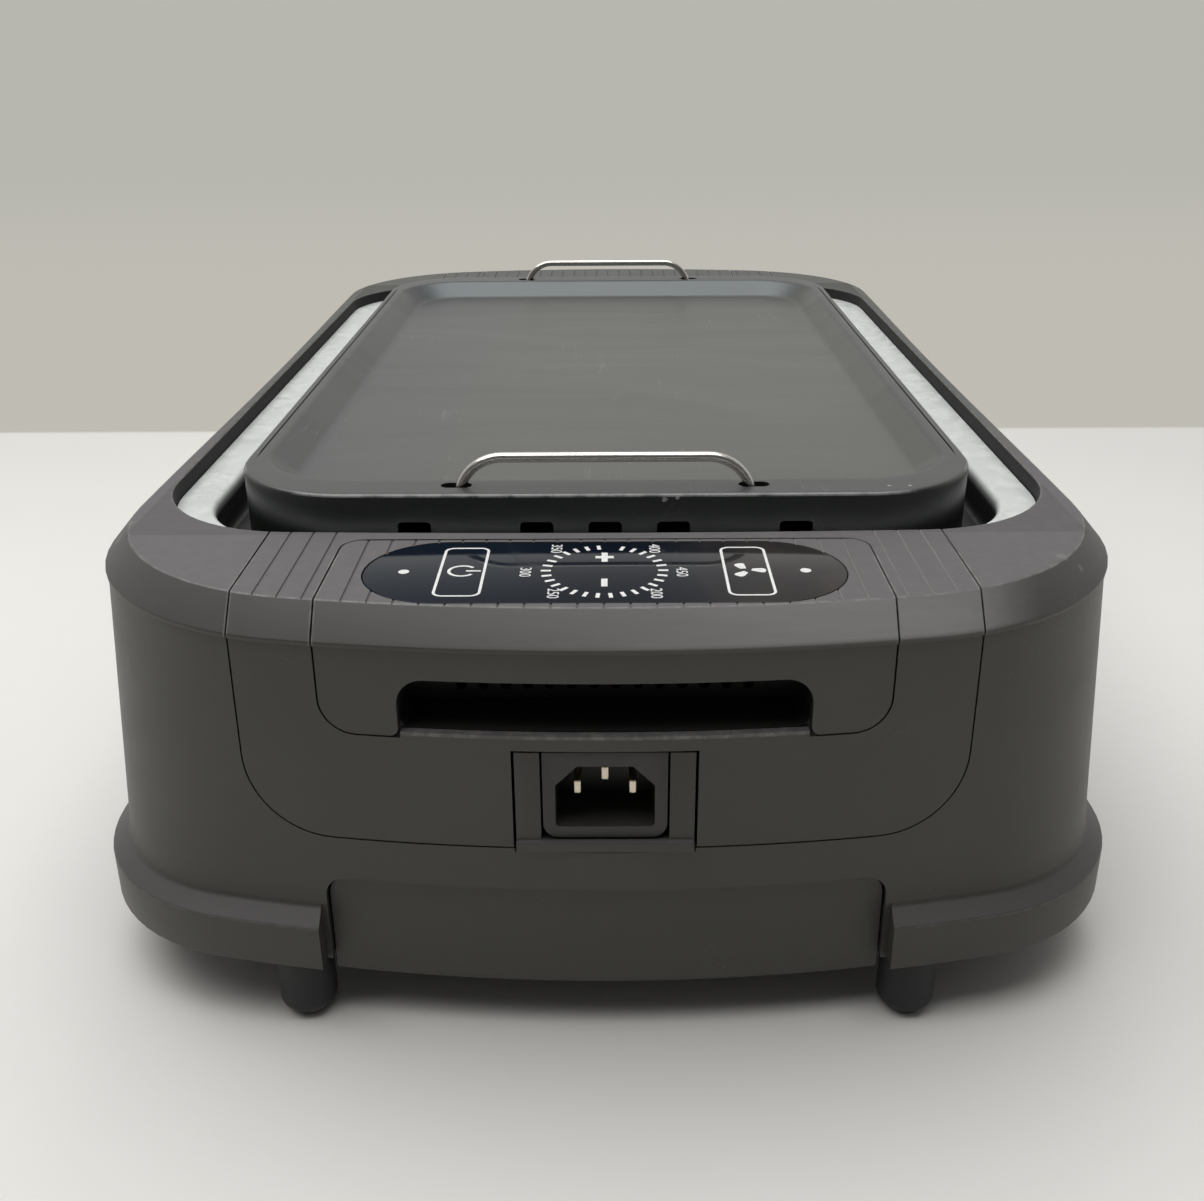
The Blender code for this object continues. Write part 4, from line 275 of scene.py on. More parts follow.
def shell_reach(x, inset, corner):
    """How far the shell reaches from the middle at x, its round corners counted in."""
    size = sizes()
    corner_x = size.half_width - corner
    inner_bow = size.end_bow - corner
    if abs(x) * inner_bow <= corner_x * (size.end_bow - inset):
        return end_reach(x, inset)
    corner_y = size.half_length - size.end_bow + sqrt(inner_bow ** 2 - corner_x ** 2)
    return corner_y + sqrt((corner - inset) ** 2 - (abs(x) - corner_x) ** 2)


def mouth_reach(x, inset):
    """How far the rim's mouth reaches from the middle, at x."""
    size = sizes()
    corner = MOUTH_CORNER - inset
    corner_x = size.mouth_half_width - MOUTH_CORNER
    centre = size.mouth_half_length - inset - MOUTH_BOW
    if abs(x) <= corner_x * MOUTH_BOW / (MOUTH_BOW - corner):
        return centre + sqrt(MOUTH_BOW ** 2 - x ** 2)
    corner_y = centre + sqrt((MOUTH_BOW - corner) ** 2 - corner_x ** 2)
    return corner_y + sqrt(corner ** 2 - (abs(x) - corner_x) ** 2)


def eased(corners, closed=True, steps=5):
    """Straight runs with round corners. Each corner is its place followed by a radius."""
    places = [Vector(corner[:-1]) for corner in corners]
    last = len(corners) - 1
    points = []
    for index, corner in enumerate(corners):
        here = places[index]
        radius = corner[-1]
        if radius <= 0 or (not closed and index in (0, last)):
            points.append(here)
            continue
        before = (places[index - 1] - here).normalized()
        after = (places[(index + 1) % len(corners)] - here).normalized()
        opening = before.angle(after)
        reach = radius / tan(opening / 2)
        centre = here + (before + after).normalized() * (radius / sin(opening / 2))
        first = here + before * reach - centre
        final = here + after * reach - centre
        swing = first.angle(final)
        for step in range(steps + 1):
            part = step / steps
            points.append(centre + (first * sin((1 - part) * swing) + final * sin(part * swing)) / sin(swing))
    return points


def mirrored(half):
    """The (x, z) corners of a symmetric outline, from its right half listed bottom to top."""
    return list(half) + [(-corner[0], *corner[1:]) for corner in reversed(half)]


def stadium(half_length, half_depth, steps=12):
    """A long outline with half-round ends."""
    points = []
    for centre, start in ((half_length - half_depth, -pi / 2), (half_depth - half_length, pi / 2)):
        for step in range(steps + 1):
            angle = start + pi * step / steps
            points.append(Vector((centre + half_depth * cos(angle), half_depth * sin(angle))))
    return points


def moved(outline, du, dv):
    """The outline shifted in its own plane."""
    return [Vector((point[0] + du, point[1] + dv)) for point in outline]


# Meshes


def mesh_of(bm, name):
    """The mesh of a finished bmesh, its faces turned outwards."""
    bmesh.ops.recalc_face_normals(bm, faces=bm.faces)
    mesh = bpy.data.meshes.new(name)
    bm.to_mesh(mesh)
    bm.free()
    return mesh


def loft(name, rings, band=False):
    """A closed body through rings of points, capped at both ends, or joined last to first as a band."""
    bm = bmesh.new()
    rows = [[bm.verts.new(point) for point in ring] for ring in rings]
    count = len(rows[0])
    following = rows[1:] + rows[:1] if band else rows[1:]
    for row, beyond in zip(rows, following):
        for index in range(count):
            beside = (index + 1) % count
            bm.faces.new((row[index], row[beside], beyond[beside], beyond[index]))
    if not band:
        bm.faces.new(rows[0])
        bm.faces.new(rows[-1])
    bmesh.ops.remove_doubles(bm, verts=bm.verts, dist=MERGE)
    return mesh_of(bm, name)


def level_rings(family, profile):
    """Rings of a family of outlines, one for each (inset, height) of a profile."""
    return [[(point.x, point.y, height) for point in family(inset)] for inset, height in profile]


def wall_rings(profile):
    """Rings of the housing's wall, whose corners tighten towards the foot."""
    return [[(point.x, point.y, height) for point in outer_plan(inset, wall_corner(height))]
            for inset, height in profile]


def across(name, half_width, section):
    """A closed body across X. section(x) gives its (reach, height) outline, reach being towards -Y."""
    rings = []
    for step in range(STATIONS + 1):
        x = half_width * (2 * step / STATIONS - 1)
        rings.append([(x, -reach, height) for reach, height in section(x)])
    return loft(name, rings)


AXES = {
    "X": Matrix(((0, 0, 1, 0), (1, 0, 0, 0), (0, 1, 0, 0), (0, 0, 0, 1))),
    "Y": Matrix(((1, 0, 0, 0), (0, 0, 1, 0), (0, 1, 0, 0), (0, 0, 0, 1))),
    "Z": Matrix.Identity(4),
}


def prism(name, outline, low, high, axis="Z"):
    """A flat outline between two levels of an axis: (y, z) across X, (x, z) across Y, (x, y) across Z."""
    rings = []
    for level in (low, high):
        rings.append([AXES[axis] @ Vector((point[0], point[1], level)) for point in outline])
    return loft(name, rings)


def block(name, low, high):
    """A box between two corners."""
    return prism(name, ((low[0], low[1]), (high[0], low[1]), (high[0], high[1]), (low[0], high[1])), low[2], high[2])


def round_outline(radius, steps=TURN_STEPS):
    return [Vector((radius * cos(2 * pi * step / steps), radius * sin(2 * pi * step / steps))) for step in range(steps)]


def turned(name, profile, steps=TURN_STEPS):
    """A body of revolution about Z from its (radius, height) profile, which starts and ends on the axis."""
    bm = bmesh.new()
    verts = [bm.verts.new((radius, 0, height)) for radius, height in profile]
    edges = [bm.edges.new(pair) for pair in zip(verts, verts[1:])]
    bmesh.ops.spin(bm, geom=verts + edges, cent=(0, 0, 0), axis=(0, 0, 1), angle=2 * pi, steps=steps,
                   use_merge=True)
    bmesh.ops.remove_doubles(bm, verts=bm.verts, dist=MERGE)
    return mesh_of(bm, name)


def wire(name, points, radius):
    """A round wire along points, closed at its ends."""
    curve = bpy.data.curves.new(name, "CURVE")
    curve.dimensions = "3D"
    curve.bevel_depth = radius
    curve.bevel_resolution = 6
    curve.use_fill_caps = True
    spline = curve.splines.new("POLY")
    spline.points.add(len(points) - 1)
    for point, place in zip(spline.points, points):
        point.co = (*place, 1)
    return plain_mesh(name, curve)


def lettering(name, text, height, turn, place):
    """Flat raised figures, centred on a place and turned about Z."""
    curve = bpy.data.curves.new(name, "FONT")
    curve.body = text
    curve.size = height
    curve.extrude = PRINT_RISE
    curve.align_x = "CENTER"
    curve.align_y = "CENTER"
    mesh = plain_mesh(name, curve)
    mesh.transform(Matrix.Translation(place) @ Matrix.Rotation(turn, 4, "Z"))
    return mesh


def plain_mesh(name, data, steps=()):
    """The mesh that a curve, or a mesh with modifiers, comes to. Each step is (kind, settings)."""
    drawn = bpy.data.objects.new(name, data)
    bpy.context.scene.collection.objects.link(drawn)
    for kind, settings in steps:
        modifier = drawn.modifiers.new(kind, kind)
        for key, value in settings.items():
            if key.startswith("Socket_"):
                modifier[key] = value
            else:
                setattr(modifier, key, value)
    bpy.context.view_layer.update()
    graph = bpy.context.evaluated_depsgraph_get()
    mesh = bpy.data.meshes.new_from_object(drawn.evaluated_get(graph))
    mesh.name = name
    bpy.data.objects.remove(drawn, do_unlink=True)
    return mesh


def shaped(mesh, *tools):
    """The mesh after Booleans. Each tool is (operation, mesh)."""
    helpers = []
    steps = []
    for operation, tool in tools:
        helper = bpy.data.objects.new(tool.name, tool)
        bpy.context.scene.collection.objects.link(helper)
        helpers.append(helper)
        steps.append(("BOOLEAN", {"operation": operation, "solver": "EXACT", "object": helper}))
    made = plain_mesh(mesh.name, mesh, steps)
    for helper in helpers:
        bpy.data.objects.remove(helper, do_unlink=True)
    return made


def softened(mesh, width, segments=2):
    """The mesh with its sharp edges slightly rounded."""
    settings = {"width": width, "segments": segments, "limit_method": "ANGLE", "angle_limit": radians(50)}
    return plain_mesh(mesh.name, mesh, [("BEVEL", settings)])


def spun(mesh, turn):
    """The mesh turned about Z."""
    if turn:
        mesh.transform(Matrix.Rotation(turn, 4, "Z"))
    return mesh


def united(name, meshes):
    """One mesh of several, laid side by side."""
    bm = bmesh.new()
    for mesh in meshes:
        bm.from_mesh(mesh)
    made = bpy.data.meshes.new(name)
    bm.to_mesh(made)
    bm.free()
    return made


def add_piece(name, mesh, finish, body, stands_for=(), smooth=32):
    """A finished piece that rides on a body and stands for the nodes it replaces."""
    if not mesh.polygons:
        raise RuntimeError(name + " came out empty")
    piece = bpy.data.objects.new(name, mesh)
    mesh.name = name
    bpy.context.scene.collection.objects.link(piece)
    mesh.materials.clear()
    mesh.materials.append(finish)
    mesh.shade_smooth()
    mesh.set_sharp_from_angle(angle=radians(smooth))
    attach(piece, body)
    if stands_for:
        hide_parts(*stands_for)
    return piece


# Repeats


def new_tree(name, inputs):
    """An empty geometry tree with named inputs, its input node and its finishing nodes."""
    tree = bpy.data.node_groups.new(name, "GeometryNodeTree")
    tree.interface.new_socket("Geometry", in_out="INPUT", socket_type="NodeSocketGeometry")
    for label, kind in inputs:
        tree.interface.new_socket(label, in_out="INPUT", socket_type=kind)
    tree.interface.new_socket("Geometry", in_out="OUTPUT", socket_type="NodeSocketGeometry")
    entry = tree.nodes.new("NodeGroupInput")
    on_points = tree.nodes.new("GeometryNodeInstanceOnPoints")
    part = tree.nodes.new("GeometryNodeObjectInfo")
    part.transform_space = "ORIGINAL"
    realise = tree.nodes.new("GeometryNodeRealizeInstances")
    paint = tree.nodes.new("GeometryNodeSetMaterial")
    leave = tree.nodes.new("NodeGroupOutput")
    link = tree.links.new
    link(entry.outputs["Part"], part.inputs["Object"])
    link(part.outputs["Geometry"], on_points.inputs["Instance"])
    link(on_points.outputs["Instances"], realise.inputs["Geometry"])
    link(realise.outputs["Geometry"], paint.inputs["Geometry"])
    link(entry.outputs["Material"], paint.inputs["Material"])
    link(paint.outputs["Geometry"], leave.inputs["Geometry"])
    return tree, entry, on_points


def row_tree():
    """Parts in a straight row."""
    tree, entry, on_points = new_tree("row_of_parts", (
        ("Part", "NodeSocketObject"), ("Count", "NodeSocketInt"), ("Start", "NodeSocketVector"),
        ("Step", "NodeSocketVector"), ("Material", "NodeSocketMaterial")))
    line = tree.nodes.new("GeometryNodeMeshLine")
    tree.links.new(entry.outputs["Count"], line.inputs["Count"])
    tree.links.new(entry.outputs["Start"], line.inputs["Start Location"])
    tree.links.new(entry.outputs["Step"], line.inputs["Offset"])
    tree.links.new(line.outputs["Mesh"], on_points.inputs["Points"])
    return tree


def ring_tree():
    """Parts in a ring about Z, each turned outwards, with one place left out."""
    tree, entry, on_points = new_tree("ring_of_parts", (
        ("Part", "NodeSocketObject"), ("Count", "NodeSocketInt"), ("Radius", "NodeSocketFloat"),
        ("Left Out", "NodeSocketInt"), ("Material", "NodeSocketMaterial")))
    link = tree.links.new
    circle = tree.nodes.new("GeometryNodeMeshCircle")
    link(entry.outputs["Count"], circle.inputs["Vertices"])
    link(entry.outputs["Radius"], circle.inputs["Radius"])
    index = tree.nodes.new("GeometryNodeInputIndex")
    same = tree.nodes.new("FunctionNodeCompare")
    same.data_type = "INT"
    same.operation = "EQUAL"
    link(index.outputs[0], same.inputs[2])
    link(entry.outputs["Left Out"], same.inputs[3])
    gap = tree.nodes.new("GeometryNodeDeleteGeometry")
    link(circle.outputs["Mesh"], gap.inputs["Geometry"])
    link(same.outputs[0], gap.inputs["Selection"])
    place = tree.nodes.new("GeometryNodeInputPosition")
    aim = tree.nodes.new("FunctionNodeAlignRotationToVector")
    aim.axis = "X"
    link(place.outputs[0], aim.inputs["Vector"])
    link(aim.outputs["Rotation"], on_points.inputs["Rotation"])
    link(gap.outputs["Geometry"], on_points.inputs["Points"])
    return tree


def places_tree():
    """A part on every vertex of the mesh that the tree is given."""
    tree, entry, on_points = new_tree("parts_on_places", (
        ("Part", "NodeSocketObject"), ("Material", "NodeSocketMaterial")))
    tree.links.new(entry.outputs["Geometry"], on_points.inputs["Points"])
    return tree


def repeated(name, maker, part, settings, finish, places=()):
    """A plain mesh of a part that a geometry tree repeats."""
    tree = bpy.data.node_groups.get(maker.__name__) or maker()
    tree.name = maker.__name__
    source = bpy.data.objects.new(name + "_part", part)
    bpy.context.scene.collection.objects.link(source)
    sockets = {item.name: item.identifier for item in tree.interface.items_tree if item.in_out == "INPUT"}
    values = {sockets["Part"]: source, sockets["Material"]: finish}
    values.update({sockets[label]: value for label, value in settings.items()})
    carrier = bpy.data.meshes.new(name)
    carrier.from_pydata(list(places), [], [])
    made = plain_mesh(name, carrier, [("NODES", {"node_group": tree, **values})])
    bpy.data.objects.remove(source, do_unlink=True)
    return made


# Shader maths


class Wire:
    """A node's output, used in plain expressions that add Math nodes."""

    def __init__(self, sheet, socket):
        self.sheet = sheet
        self.socket = socket

    def maths(self, operation, *values):
        return self.sheet.node("ShaderNodeMath", {"operation": operation}, dict(enumerate(values)))

    def __add__(self, other):
        return self.maths("ADD", self, other)

    def __radd__(self, other):
        return self.maths("ADD", other, self)

    def __sub__(self, other):
        return self.maths("SUBTRACT", self, other)

    def __rsub__(self, other):
        return self.maths("SUBTRACT", other, self)

    def __mul__(self, other):
        return self.maths("MULTIPLY", self, other)

    def __rmul__(self, other):
        return self.maths("MULTIPLY", other, self)

    def smallest(self, other):
        return self.maths("MINIMUM", self, other)

    def largest(self, other):
        return self.maths("MAXIMUM", self, other)

    def size(self):
        return self.maths("ABSOLUTE", self)

    def limited(self):
        return self.largest(0.0).smallest(1.0)

    def ramp(self, low, high):
        """0 below low, 1 above high and smooth between, or the other way round where low is above high."""
        return self.sheet.node("ShaderNodeMapRange", {"interpolation_type": "SMOOTHSTEP"},
                               {"Value": self, "From Min": min(low, high), "From Max": max(low, high),
                                "To Min": 0.0 if low < high else 1.0, "To Max": 1.0 if low < high else 0.0})


class Sheet:
    """A material being made."""

    def __init__(self, name):
        self.material = bpy.data.materials.new(name)
        self.material.use_nodes = True
        self.tree = self.material.node_tree
        self.shader = self.tree.nodes["Principled BSDF"]
        self.place = self.node("ShaderNodeTexCoord", output="Object")
        self.x, self.y, self.z = self.parts(self.place)

    def node(self, kind, settings=None, inputs=None, output=0):
        made = self.tree.nodes.new(kind)
        for key, value in (settings or {}).items():
            setattr(made, key, value)
        for key, value in (inputs or {}).items():
            self.feed(made.inputs[key], value)
        return Wire(self, made.outputs[output])

    def feed(self, socket, value):
        if isinstance(value, Wire):
            self.tree.links.new(value.socket, socket)
        elif socket.type == "RGBA" and len(value) == 3:
            socket.default_value = (*value, 1.0)
        else:
            socket.default_value = value

    def parts(self, vector):
        split = self.tree.nodes.new("ShaderNodeSeparateXYZ")
        self.feed(split.inputs[0], vector)
        return [Wire(self, output) for output in split.outputs]

    def stretched(self, scale, turn=(0.0, 0.0, 0.0)):
        """The place, with each axis scaled, for a pattern that runs one way."""
        return self.node("ShaderNodeMapping", None, {"Vector": self.place, "Scale": scale, "Rotation": turn})

    def noise(self, scale, detail=3.0, rough=0.55, place=None, distortion=0.0):
        return self.node("ShaderNodeTexNoise", None, {"Vector": place or self.place, "Scale": scale,
                                                      "Detail": detail, "Roughness": rough, "Distortion": distortion})

    def cells(self, scale, output="Distance"):
        return self.node("ShaderNodeTexVoronoi", None, {"Vector": self.place, "Scale": scale}, output)

    def mix(self, factor, first, second):
        """The first colour where the factor is 0 and the second where it is 1."""
        made = self.tree.nodes.new("ShaderNodeMix")
        made.data_type = "RGBA"
        self.feed(made.inputs[0], factor)
        self.feed(made.inputs[6], first)
        self.feed(made.inputs[7], second)
        return Wire(self, made.outputs[2])

    def bump(self, height, distance, strength):
        return self.node("ShaderNodeBump", None, {"Height": height, "Distance": distance, "Strength": strength})

    def near(self, place, radius, ragged=0.5, scale=700.0):
        """1 close to a point and 0 away from it, with a ragged edge."""
        apart = self.node("ShaderNodeVectorMath", {"operation": "DISTANCE"},
                          {0: self.place, 1: place}, "Value")
        return (apart * (1 / radius) + (self.noise(scale, 4.0) - 0.5) * (4 * ragged)).ramp(1.05, 0.9)

    def facing(self):
        """The X, Y and Z shares of the way that a face looks."""
        return self.parts(self.node("ShaderNodeNewGeometry", output="Normal"))

    def within(self, value, low, high, soft):
        """1 where a value lies between two limits."""
        return value.ramp(low - soft, low + soft) * value.ramp(high + soft, high - soft)

    def scratches(self, scale, degrees, amount):
        """Fine straight scratches that run one way, with gaps."""
        long_way = self.stretched((scale, scale * 0.02, scale), (0.0, 0.0, radians(degrees)))
        lines = self.noise(1.0, 1.0, 0.4, long_way)
        where = self.noise(28.0, 3.0, 0.6)
        return (lines - 0.5).size().ramp(0.012, 0.0) * where.ramp(1.0 - amount, 1.0 - amount + 0.12)

    def give_way(self, factor, shader):
        """Where the factor is 1 the other shader shows."""
        blend = self.tree.nodes.new("ShaderNodeMixShader")
        self.feed(blend.inputs[0], factor)
        self.tree.links.new(self.shader.outputs[0], blend.inputs[1])
        self.tree.links.new(shader, blend.inputs[2])
        self.tree.links.new(blend.outputs[0], self.tree.nodes["Material Output"].inputs["Surface"])

    def set(self, **values):
        for key, value in values.items():
            self.feed(self.shader.inputs[key.replace("_", " ").title().replace("Ior", "IOR")], value)
        return self.material


def shade(colour, factor, lift=0.0):
    """A colour made darker or paler, white at most."""
    return tuple(min(1.0, factor * value + lift) for value in colour)


def finish(name):
    """The material of a finish, made once."""
    made = bpy.data.materials.get(name)
    return made or FINISHES[name](name)


def moulded_shell(name, wear=()):
    """Moulded graphite plastic: fine grain, handling marks, a painted sheen on upward faces, painted edge highlights
    mixed with wear, a painted highlight on the front chamfer and painted shade inside the mouth.

    Each mark of wear is a place, its radius and how far it bares the plastic.
    """
    sheet = Sheet(name)
    base = tuple(tints().shell)
    cloud = sheet.noise(9.0, 4.0, 0.6)
    fine = sheet.noise(160.0, 3.0)
    grain = sheet.noise(2600.0, 2.0, 0.6)
    colour = sheet.mix((cloud - 0.5) * 0.5 + (fine - 0.5) * 0.25 + 0.5,
                       shade(base, 0.86), shade(base, 1.14))
    smear = sheet.noise(22.0, 5.0, 0.62, sheet.stretched((1.0, 0.45, 1.4)), 0.6)
    look_z = sheet.facing()[2]
    # Painted sheen: upward faces paler, more so towards the front end, in place of light glancing off the top.
    top = look_z.ramp(0.45, 0.98) * (0.80 + (smear - 0.5) * 0.5 + (grain - 0.5) * 0.3)
    painted_sheen = sheet.mix(sheet.y.ramp(-0.17, -0.03), tuple(tints().shell_dust), (0.058, 0.060, 0.054))
    colour = sheet.mix(top.limited(), colour, painted_sheen)
    marks = (sheet.scratches(420.0, 24, 0.44) + sheet.scratches(360.0, -51, 0.40)).limited()
    rough = 0.47 + (smear - 0.5) * 0.16 + (grain - 0.5) * 0.10 + top * 0.05 - marks * 0.08
    colour = sheet.mix(marks * 0.22, colour, shade(base, 2.2, 0.05))
    rub = sheet.noise(310.0, 4.0, 0.65).ramp(0.40, 0.62)
    size = sizes()
    # Painted edge highlights: pale lines along the rim's crest, the skirt's ledge, the panel seams and the hold's lip,
    # patchy like wear; the same mask also smooths and dents these edges as wear.
    crest = sheet.within(look_z, 0.76, 0.985, 0.03) * sheet.z.ramp(size.rim_top - 0.0018, size.rim_top - 0.0010)
    ledge = sheet.within(sheet.z, size.skirt_top - 0.0014, size.skirt_top + 0.0006, 0.0003)
    brow = sheet.within(look_z, 0.25, 0.62, 0.08) * ledge
    side = sheet.x.size()
    end = sheet.y.size()
    # Painted shade: the mouth's steep inner walls darkened.
    painted_mouth_shade = side.ramp(size.mouth_half_width + 0.0012, size.mouth_half_width + 0.0004)
    painted_mouth_shade = painted_mouth_shade * end.ramp(size.mouth_half_length + 0.0012, size.mouth_half_length + 0.0004)
    colour = sheet.mix(painted_mouth_shade * look_z.ramp(0.80, 0.45), colour, (0.010, 0.011, 0.010))
    lip = sheet.within(sheet.z, size.hold_bottom - 0.0009, size.hold_bottom + 0.0006, 0.0003)
    lip = lip * side.ramp(size.hold_half_width + 0.001, size.hold_half_width - 0.002) * end.ramp(0.2462, 0.2472)
    seam = ((side - size.panel_half_width - SEAM_GAP / 2).size().ramp(0.0008, 0.0004)).largest(
        (side - size.console_half_width - SEAM_GAP / 2).size().ramp(0.0008, 0.0004))
    seam = seam * sheet.z.ramp(size.band_bottom - 0.0004, size.band_bottom + 0.0004) * end.ramp(0.205, 0.215)
    wear_and_edge_highlight = (crest * 0.8 + brow * 0.5 + seam * 0.75 + lip * 0.9).limited() * (0.35 + rub * 0.65)
    colour = sheet.mix(wear_and_edge_highlight * 0.55, colour, (0.25, 0.245, 0.235))
    # Painted highlight: the front console's chamfer paler and streaked, strongest towards the right.
    painted_chamfer_highlight = sheet.z.ramp(size.band_bottom + 0.0004, size.band_bottom + 0.0022) * sheet.y.ramp(-0.15, -0.20)
    painted_chamfer_highlight = painted_chamfer_highlight * sheet.x.ramp(-0.085, 0.085) * sheet.x.ramp(0.112, 0.088) * look_z.ramp(0.92, 0.70)
    streak = sheet.noise(30.0, 5.0, 0.65, sheet.stretched((0.5, 1.0, 3.0)), 0.5)
    colour = sheet.mix((painted_chamfer_highlight * (0.45 + streak * 0.85)).limited(), colour, (0.200, 0.198, 0.192))
    rough = rough - wear_and_edge_highlight * 0.08 + painted_mouth_shade * 0.3
    height = grain * 0.5 + fine * 0.25 - marks * 0.35 - wear_and_edge_highlight * rub * 0.3
    for place, radius, amount in wear:
        spot = sheet.near(place, radius, 0.42, 420.0)
        colour = sheet.mix(spot * amount, colour, (0.20, 0.19, 0.18))
        height = height - spot * 0.9
    return sheet.set(base_color=colour, roughness=rough.limited(), specular_ior_level=0.5,
                     normal=sheet.bump(height, 0.00006, 0.75))


def rim_wear(name):
    """The rim's plastic, chipped at its front corners."""
    top = sizes().rim_top
    wear = (((-0.1378, -0.1877, top - 0.0026), 0.0026, 0.45), ((-0.1345, -0.1850, top), 0.0014, 0.45),
            ((0.1190, -0.2131, top - 0.0010), 0.0020, 0.40), ((0.1247, -0.2127, top - 0.0040), 0.0013, 0.40))
    return moulded_shell(name, wear=wear)


def dark_inside(name):
    sheet = Sheet(name)
    base = tuple(tints().inside)
    cloud = sheet.noise(30.0, 4.0)
    grain = sheet.noise(2200.0, 2.0)
    colour = sheet.mix(cloud, shade(base, 0.8), shade(base, 1.3))
    return sheet.set(base_color=colour, roughness=(0.50 + (cloud - 0.5) * 0.2).limited(),
                     normal=sheet.bump(grain, 0.00005, 0.6))


def non_stick(name):
    """Cast plate under a satin coating: fine orange peel, wipe marks, small nicks on its rim, a painted sheen on its
    upward faces, a painted edge highlight on its rim and a painted bluish reflection on the basin's far wall.
    """
    size = sizes()
    edge = size.plate_top
    sheet = Sheet(name)
    base = tuple(tints().coating)
    cloud = sheet.noise(6.0, 4.0, 0.6)
    speck = sheet.cells(2400.0)
    look = sheet.facing()
    peel = sheet.noise(950.0, 3.0, 0.6)
    wipes = sheet.noise(14.0, 5.0, 0.6, sheet.stretched((0.5, 2.2, 1.0), (0.0, 0.0, radians(14))), 0.8)
    colour = sheet.mix(((cloud - 0.5) * 0.8 + 0.5).limited(), shade(base, 0.88), shade(base, 1.12))
    # Painted sheen: upward faces far paler than the coating, brighter towards the middle than at the left, the rim's
    # top band darker.
    painted_plate_sheen = sheet.mix(sheet.x.ramp(-0.105, -0.020), (0.049, 0.049, 0.051), (0.062, 0.063, 0.054))
    painted_plate_sheen = sheet.mix(sheet.z.ramp(edge - 0.0012, edge - 0.0004), painted_plate_sheen, (0.034, 0.035, 0.035))
    colour = sheet.mix(look[2].ramp(0.55, 0.95), colour, painted_plate_sheen)
    colour = sheet.mix(speck.ramp(0.10, 0.0) * 0.25, colour, (0.20, 0.20, 0.19))
    marks = (sheet.scratches(300.0, 68, 0.45) + sheet.scratches(260.0, 12, 0.38)).limited()
    colour = sheet.mix(marks * 0.18, colour, (0.26, 0.26, 0.25))
    nicks = sheet.near((0.0814, -0.1745, edge), 0.0006, 0.5, 900.0)
    for place, radius in (((0.0874, -0.1743, edge), 0.0005), ((0.0169, -0.1812, edge - 0.0015), 0.0008),
                          ((0.0205, -0.1812, edge - 0.0010), 0.0006)):
        nicks = nicks.largest(sheet.near(place, radius, 0.5, 900.0))
    outside = sheet.x.size().ramp(size.plate_half_width - 0.0045, size.plate_half_width - 0.0030).largest(
        sheet.y.size().ramp(size.plate_half_length - 0.0045, size.plate_half_length - 0.0030))
    # Painted edge highlight: a pale broken line on the plate's outer top edge, patchy like wear.
    rim = sheet.within(look[2], 0.30, 0.93, 0.05) * sheet.z.ramp(edge - 0.0014, edge - 0.0008) * outside
    colour = sheet.mix(rim * sheet.noise(240.0, 3.0).ramp(0.25, 0.60) * 0.7, colour, (0.22, 0.225, 0.22))
    # Painted reflection: a bluish tint on the basin's far wall where it faces the control end.
    colour = sheet.mix(look[1].ramp(-0.15, -0.60) * look[2].ramp(0.2, 0.5) * sheet.y.ramp(0.05, 0.12) * 0.7, colour,
                       (0.050, 0.080, 0.092))
    colour = sheet.mix(nicks * 0.6, colour, (0.42, 0.42, 0.40))
    rough = 0.36 + (wipes - 0.5) * 0.20 + (cloud - 0.5) * 0.08 - marks * 0.06
    return sheet.set(base_color=colour, roughness=rough.limited(), specular_ior_level=0.80,
                     normal=sheet.bump(peel * 0.6 + speck * 0.25 - marks * 0.3 - nicks * 0.8, 0.00006, 0.8))


def aluminised(name, colour=None, metallic=0.25, spangle=260.0, painted_shade_height=LINER_BOX[1].z - 0.0008):
    """Coated sheet: pale spangle, clouding and small dents, with painted shade below a height."""
    sheet = Sheet(name)
    base = colour or tuple(tints().sheet)
    flakes = sheet.parts(sheet.cells(spangle, "Color"))[0]
    cloud = sheet.noise(45.0, 5.0, 0.65)
    streak = sheet.noise(18.0, 4.0, 0.6, sheet.stretched((1.0, 1.0, 9.0)), 0.4)
    stain = (cloud * 0.5 + sheet.noise(380.0, 4.0, 0.7) * 0.5).ramp(0.50, 0.66)
    colour = sheet.mix(((flakes - 0.5) * 0.35 + (cloud - 0.5) * 0.9 + 0.5).limited(),
                       shade(base, 0.80), shade(base, 1.08))
    colour = sheet.mix(stain * 0.45, colour, shade(base, 0.55))
    # Painted shade: the sheet darkened below the given height, where the well lies in shade under the plate.
    colour = sheet.mix(sheet.z.ramp(painted_shade_height, painted_shade_height - 0.0035), colour, (0.022, 0.023, 0.022))
    rough = 0.42 + (flakes - 0.5) * 0.16 + (streak - 0.5) * 0.18 + stain * 0.12
    dents = sheet.noise(120.0, 2.0)
    return sheet.set(base_color=colour, roughness=rough.limited(), metallic=metallic, specular_ior_level=0.3,
                     normal=sheet.bump(dents * 0.7 + flakes * 0.08, 0.00025, 0.5))


def zinc_sheet(name):
    return aluminised(name, tuple(tints().zinc), 0.9, 190.0, -1.0)


def handle_steel(name):
    """Drawn steel wire, lightly scratched along its length."""
    sheet = Sheet(name)
    base = tuple(tints().steel)
    along = sheet.noise(1.0, 3.0, 0.6, sheet.stretched((60.0, 2600.0, 2600.0)))
    cloud = sheet.noise(90.0, 3.0)
    colour = sheet.mix(along, shade(base, 0.82), shade(base, 1.12))
    rough = 0.24 + (along - 0.5) * 0.18 + (cloud - 0.5) * 0.10
    return sheet.set(base_color=colour, roughness=rough.limited(), metallic=1.0,
                     normal=sheet.bump(along, 0.00002, 0.5))


